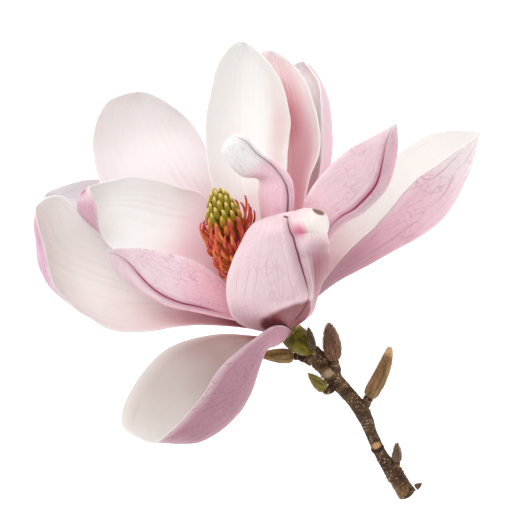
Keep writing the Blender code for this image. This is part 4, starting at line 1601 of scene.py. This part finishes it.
@dataclass(frozen=True)
class Bud:
    """One bud on its spur: where it stands, its size, its finish, and how downy it is.

    The seam, the edge of the outer scale, has a place along the bud, a slant, a turn and a height. Each rib
    has a height, a count and a turn. A hair's lean adds the normal, the way to the tip and a stray.
    """

    name: str
    spur: Point
    foot: Point
    tip: Point
    radius: float
    spur_radius: float
    bluntness: float
    fullness: float
    skin: WoodSkin
    hairs: int = 0
    bow: float = 0.0
    seam: tuple[float, float, float, float] = (0.3, 0.22, 0.8, 0.08)
    ribs: tuple[tuple[float, int, float], ...] = ((0.008, 5, 0.0), (0.006, 11, 1.0))
    slimmer: float = 0.97
    hair: Colour = paint(196, 176, 150)
    hair_lean: tuple[float, float, float] = (0.55, 1.0, 0.35)
    hair_bend: float = 0.3
    hair_root: float = 0.1
    hair_lengths: tuple[float, float] = (0.55, 1.1)
    hair_breadth: float = 0.035
    hair_outline: tuple[float, ...] = (1.0, 0.7, 0.1)
    sides: int = 28
    rows: int = 44
    gap: float = 0.3
    neck: float = 0.5
    spur_flare: float = 1.3
    spur_rings: float = 0.07

    def body(self) -> bpy.types.Object:
        """The bud as a blunt egg, bowed aside, with the edge of its outer scale standing out low down."""
        foot, tip = np.array(self.foot), np.array(self.tip)
        along = np.linspace(0, 1, self.rows + 1)
        swell = np.sin(math.pi * along**self.fullness).clip(0) ** self.bluntness
        swell[0] = swell[-1] = 0.0
        plain = self.spur_radius * (1 - along) + (self.radius - 0.5 * self.spur_radius) * swell
        around = corner_angles(self.sides)
        place, slant, turn, height = self.seam
        seam = ease(place + slant * np.cos(around + turn) - along[:, None], -0.012, 0.012)
        ribs = sum(rise * np.cos(count * around + start) for rise, count, start in self.ribs)
        shape = plain[:, None] * (self.slimmer + ribs) + height * seam * ease(along, 0.02, 0.1)[:, None]
        shape[-1] = 0.0
        aside = unit(np.cross(tip - foot, UP))
        path = foot + along[:, None] * (tip - foot) + self.bow * np.sin(math.pi * along)[:, None] * aside
        return clad(self.name + "_egg", sheath(path, shape, UP, self.sides))

    def down(self, egg: bpy.types.Object) -> list[bpy.types.Object]:
        """Grows short hairs that lean towards the tip.

        Args:
            egg: the bud that the hairs are rooted in.

        Returns:
            The hairs, each a mesh of its own.
        """
        draw = random.Random(len(self.name))
        template = prism("hair", self.hair_outline, 3, 3)
        toward = unit(np.array(self.tip) - np.array(self.foot))
        faces = egg.data.polygons
        hairs = []
        for _ in range(self.hairs):
            face = faces[draw.randrange(len(faces))]
            normal = np.array(face.normal)
            root = np.array(face.center) / MM
            spread = unit(np.array([draw.uniform(-1, 1) for _ in range(3)]))
            up, onward, stray = self.hair_lean
            lean = unit(up * normal + onward * toward + stray * spread)
            length = draw.uniform(*self.hair_lengths)
            end = root + length * unit(lean + self.hair_bend * toward)
            path = np.array([root - self.hair_root * normal, root + 0.5 * length * lean, end])
            hairs.append(grown(template, path, spread, self.hair_breadth, self.hair_breadth, draw.random()))
        discard(template)
        return hairs

    def fluff(self) -> bpy.types.Material:
        """The finish of the down: each hair has its own tone, paler towards its tip."""
        bench = Bench(self.name + "_down")
        mark, along = bench.chart()
        colour = bench.mix(mark * 0.5 + along * 0.5, self.skin.light, self.hair)
        return bench.finish(colour, mark * 0.1 + 0.6, along, 0.01, Sheen_Weight=0.3)

    def build(self) -> bpy.types.Object:
        """Makes the bud and its down."""
        egg = self.body()
        dress([egg], self.skin.build(self.name + "_scales"))
        if not self.hairs:
            egg.name = self.name + "_scales"
            return egg
        hairs = self.down(egg)
        dress(hairs, self.fluff())
        return joined([egg, *hairs], self.name + "_scales")

    def spur_limb(self) -> bpy.types.Object:
        """The spur that carries the bud."""
        foot, root = np.array(self.foot), np.array(self.spur)
        toward = unit(np.array(self.tip) - foot)
        end = foot - self.gap * toward
        neck = end - self.neck * toward
        points = np.vstack([arc(root, neck - root, neck, toward, 12), end])
        ringed = 1 + self.spur_rings * np.sin(np.linspace(0, 5 * math.pi, len(points)))
        radii = self.spur_radius * np.linspace(self.spur_flare, 1.0, len(points)) * ringed
        return clad(self.name + "_spur", sheath(points, radii, np.array([0, 0.2, 1.0]), 20))


DOWNY = WoodSkin(light=paint(150, 106, 78), dark=paint(84, 48, 32), streaks=14.0, depth=0.1)

BUDS = (
    Bud(
        "bud_furry", (25.7, -37.0, 21.5), (25.2, -33.5, 25.7), (23.4, -21.8, 28.4), 2.8, 1.4, 0.55, 1.0,
        DOWNY, 2200,
    ),
    Bud(
        "bud_long", (34.5, -49.5, 15.0), (36.7, -45.5, 17.5), (43.4, -29.3, 22.5), 2.4, 1.5, 0.3, 1.05,
        replace(DOWNY, light=paint(176, 138, 92), dark=paint(104, 74, 44), crown_start=0.8), 900, bow=0.8,
    ),
    Bud(
        "bud_green", (26.2, -40.5, 20.3), (22.0, -42.8, 23.6), (16.9, -37.9, 26.7), 1.8, 1.2, 0.5, 0.8,
        replace(DOWNY, light=paint(156, 142, 66), dark=paint(90, 76, 26)), 300,
    ),
    Bud(
        "bud_low", (45.0, -71.0, 6.5), (46.0, -67.0, 9.5), (46.0, -61.0, 12.0), 1.4, 1.1, 0.5, 0.9,
        replace(DOWNY, light=paint(140, 112, 94), dark=paint(74, 52, 40)), 400,
    ),
    Bud(
        "bud_top", (20.5, -34.0, 25.5), (18.3, -29.8, 30.5), (16.7, -22.8, 34.0), 1.2, 0.7, 0.5, 0.9,
        replace(DOWNY, light=paint(104, 84, 56), dark=paint(50, 38, 24)), 200,
    ),
    Bud(
        "bud_left", (18.0, -34.0, 24.0), (12.0, -32.3, 22.8), (0.8, -31.9, 25.2), 2.3, 1.2, 0.5, 0.8,
        replace(DOWNY, light=paint(168, 140, 92), dark=paint(98, 74, 36)),
    ),
    Bud(
        "bud_end", (49.5, -75.0, 5.0), (52.3, -76.0, 5.2), (54.5, -74.5, 5.2), 0.9, 0.8, 0.6, 0.8,
        replace(DOWNY, light=paint(132, 100, 76), dark=paint(70, 46, 34)),
    ),
)


@dataclass
class Twig:
    """The twig: its middle line from the cut end up to the peduncle, its ring scars and its lenticels.

    The scars' places count the points of the line. Each roughness has a height, a size and a seed. The knob
    has a height, a place and a reach along the line, and the same round the twig.
    """

    line: tuple[Point, ...] = (
        (49.5, -78.0, 2.55), (44.5, -70.0, 7.0), (41.0, -65.0, 9.0), (37.5, -57.5, 12.0), (35.0, -51.5, 15.0),
        (31.0, -46.0, 17.5), (26.0, -40.5, 20.5), (21.5, -35.0, 23.5), (18.0, -31.0, 25.5),
    )
    radii: tuple[float, ...] = (3.0, 2.7, 2.0, 1.9, 2.5, 2.3, 2.6, 2.8, 2.8)
    scars: tuple[float, ...] = (0.7, 0.85, 6.2, 6.35, 6.55, 7.05, 7.25, 7.5)
    scar_height: float = 0.3
    scar_width: float = 0.045
    roughness: tuple[tuple[float, float, float], ...] = ((0.16, 1.6, 0.0), (0.1, 0.6, 4.0))
    knob_height: float = 0.5
    knob_along: tuple[float, float] = (2.35, 0.1)
    knob_around: tuple[float, float] = (-1.2, 0.5)
    rings: int = 300
    sides: int = 44
    lenticels: int = 150
    lenticel_sizes: tuple[float, float] = (0.1, 0.2)
    lenticel_shape: tuple[float, float, float] = (1.6, 1.0, 0.6)
    smallest_face: float = 0.6
    seed: int = 5
    skin: BarkSkin = field(default_factory=BarkSkin)
    pale: WoodSkin = WoodSkin(light=paint(214, 198, 170), dark=paint(170, 146, 116), depth=0.03)

    def wood(self) -> bpy.types.Object:
        """The barked twig, with raised ring scars and rough bark."""
        places = np.linspace(0, len(self.line) - 1, self.rings)
        plain = np.interp(places, range(len(self.radii)), self.radii)
        path = spline(steered(list(self.line)), places)
        radii = plain + self.scar_height * sum(hump(places, scar, self.scar_width) for scar in self.scars)
        smooth = sheath(path, radii, UP, self.sides)
        rough = sum(height * wander(smooth, size, seed) for height, size, seed in self.roughness)
        rough[:, -1] = rough[:, 0]
        rough[0] = rough[-1] = 0.0
        knob = self.knob_height * hump(places[:, None], *self.knob_along)
        knob = knob * hump(corner_angles(self.sides), *self.knob_around)
        return clad("twig_wood", sheath(path, radii[:, None] + rough + knob, UP, self.sides))

    def lenticel(
        self, template: bpy.types.Object, face: bpy.types.MeshPolygon, size: float
    ) -> bpy.types.Object:
        """A pale bead on the bark, longer across the twig than along it."""
        normal = np.array(face.normal)
        axis = unit(np.cross(normal, np.array([0.55, -0.8, 0.2])))
        long, wide, high = self.lenticel_shape
        bead = twin(template)
        raw = coordinates(bead)
        turned = long * raw[:, :1] * axis + wide * raw[:, 1:2] * np.cross(normal, axis)
        turned = turned + high * raw[:, 2:] * normal
        set_coordinates(bead, np.array(face.center) / MM + size * turned)
        return bead

    def build(self) -> bpy.types.Object:
        """Unites the twig with its spurs and sets the lenticels on the bark."""
        bark = fused(self.wood(), [bud.spur_limb() for bud in BUDS])
        bpy.context.view_layer.objects.active = bark
        bark.data.materials.clear()
        dress([bark], self.skin.build("twig_bark"))
        draw = random.Random(self.seed)
        template = clad("lenticel", self.bead(), closed=True)
        faces = [face for face in bark.data.polygons if face.area < (self.smallest_face * MM) ** 2]
        beads = []
        for _ in range(self.lenticels):
            face = faces[draw.randrange(len(faces))]
            beads.append(self.lenticel(template, face, draw.uniform(*self.lenticel_sizes)))
        discard(template)
        dress(beads, self.pale.build("twig_lenticels"))
        return joined([bark, *beads], "twig_bark")

    def bead(self) -> Array:
        """A low round bead, 1 mm in radius."""
        tilt = np.linspace(-math.pi / 2, math.pi / 2, 5)
        path = np.column_stack([np.zeros(5), np.zeros(5), np.sin(tilt)])
        return sheath(path, np.maximum(np.cos(tilt), 0.0), np.array([0, 1.0, 0]), 7)


@dataclass
class Stalk:
    """The receptacle that carries the tepals, and the green peduncle with its bract under it.

    The lip is the edge of the bract: its place along the peduncle, its slant, its turn and its thickness.
    """

    receptacle_radius: float = 4.2
    receptacle_length: float = 11.0
    ring_pitch: float = 1.4
    ring_height: float = 0.06
    column_radius: float = 3.4
    foot: Point = (18.0, -31.0, 25.5)
    before_foot: Point = (21.5, -35.0, 23.5)
    gap: float = 0.3
    peduncle_radii: tuple[float, float] = (2.5, 3.8)
    bract_swell: float = 0.9
    bract_ribs: tuple[float, int] = (0.015, 11)
    lip: tuple[float, float, float, float] = (0.16, 0.07, 0.6, 0.35)
    rows: int = 60
    sides: int = 40
    skin: StemSkin = field(default_factory=StemSkin)
    pith: Colour = paint(196, 178, 110)

    def receptacle(self) -> bpy.types.Object:
        """The receptacle, ringed where the tepals spring from it."""
        heights = np.linspace(0, self.receptacle_length, self.rows)
        share = (heights / self.receptacle_length) ** 3
        radii = self.receptacle_radius + (self.column_radius - self.receptacle_radius) * share
        radii = radii + self.ring_height * np.cos(heights * 2 * math.pi / self.ring_pitch)
        path = AXIS.line(0, self.receptacle_length, self.rows)
        piece = clad("receptacle_body", sheath(path, radii, UP, self.sides))
        dress([piece], replace(self.skin, light=self.pith).build("receptacle_finish"))
        return piece

    def peduncle(self) -> bpy.types.Object:
        """The peduncle, swollen by a bract whose edge stands out round it."""
        leave = unit(np.array(self.foot) - np.array(self.before_foot))
        start = np.array(self.foot) + self.gap * leave
        points = arc(start, leave, AXIS.point(-self.gap), AXIS.tangent(0), self.rows)
        climb = np.linspace(0, 1, self.rows)
        plain = np.interp(climb, (0, 1), self.peduncle_radii) + self.bract_swell * np.sin(math.pi * climb)
        around = corner_angles(self.sides)
        place, slant, turn, thick = self.lip
        bare = ease(place + slant * np.cos(around - turn) - climb[:, None], -0.02, 0.02)
        height, count = self.bract_ribs
        shape = plain[:, None] * (1 + height * np.cos(count * around)) - thick * bare
        piece = clad("peduncle_stem", sheath(points, shape, UP, self.sides))
        dress([piece], self.skin.build("peduncle_finish"))
        return piece


class Light(Enum):
    """The studio's lights: where each stands in metres, its size, and its power in watts."""

    KEY = ((-0.85, 1.15, 1.1), 1.0, 7.0)
    TOP = ((0.1, 0.5, 1.6), 1.2, 4.0)


@dataclass
class Studio:
    """A pale floor that glows like a light table, soft lights and the camera above."""

    view_height: float = 1.1
    scale_height: float = 0.032
    frame_width: float = 0.16384
    sensor: float = 36.0
    nearest: float = 0.01
    floor_size: float = 6.0
    air: float = 0.7
    glow: float = 0.9
    white: Colour = (1.0, 1.0, 1.0, 1.0)

    def floor(self) -> None:
        """Lays the pale paper that the flower lies on."""
        bpy.ops.object.select_all(action="DESELECT")
        bpy.ops.mesh.primitive_plane_add(size=self.floor_size)
        floor = bpy.context.object
        floor.name = "studio_floor"
        bench = Bench("floor_paper")
        fine = bench.cloud(bench.place(), 300.0)
        colour = bench.mix(fine * 0.05, paint(250, 250, 250), paint(240, 240, 240))
        glow = {"Emission_Color": self.white, "Emission_Strength": self.glow}
        dress([floor], bench.finish(colour, fine * 0.1 + 0.8, fine, 0.01, **glow))

    def lights(self) -> None:
        """Hangs the lights round the flower, in white air."""
        world = bpy.data.worlds.new("studio_air")
        world.use_nodes = True
        backdrop = world.node_tree.nodes["Background"].inputs
        backdrop["Strength"].default_value = self.air
        backdrop["Color"].default_value = self.white
        bpy.context.scene.world = world
        bpy.context.scene.view_settings.view_transform = "Standard"
        for light in Light:
            place, size, power = light.value
            bpy.ops.object.light_add(type="AREA", location=place)
            lamp = bpy.context.object
            lamp.name = "light_" + light.name.lower()
            lamp.data.shape = "DISK"
            lamp.data.size = size
            lamp.data.energy = power
            lamp.rotation_euler = Vector(place).to_track_quat("Z", "Y").to_euler()

    def camera(self, shift: Vector) -> None:
        """Stands the camera over the drawing frame's middle, looking down."""
        bpy.ops.object.camera_add(location=(shift.x, shift.y, self.view_height), rotation=(0.0, 0.0, 0.0))
        camera = bpy.context.object
        camera.data.sensor_width = self.sensor
        camera.data.lens = self.sensor * (self.view_height - self.scale_height) / self.frame_width
        camera.data.clip_start = self.nearest
        bpy.context.scene.camera = camera

    def build(self, shift: Vector) -> None:
        """Sets up the floor, the lights and the camera."""
        self.floor()
        self.lights()
        self.camera(shift)


def main() -> None:
    """Loads the frame, builds every piece in its place and sets up the studio."""
    logging.basicConfig(level=logging.INFO, format="%(message)s")
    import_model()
    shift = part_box("receptacle")[0] - Vector(RECEPTACLE_LOW) * MM
    for petal in PETALS:
        hand_over(petal.build(), petal.name, shift)
    hand_over(StamenHead().build(), "stamens", shift)
    hand_over(CarpelCone().build(), "gynoecium", shift)
    stalk = Stalk()
    hand_over(stalk.receptacle(), "receptacle", shift)
    hand_over(stalk.peduncle(), "peduncle", shift)
    hand_over(Twig().build(), "twig", shift)
    for bud in BUDS:
        hand_over(bud.build(), bud.name, shift)
    Studio().build(shift)


if __name__ == "__main__":
    main()
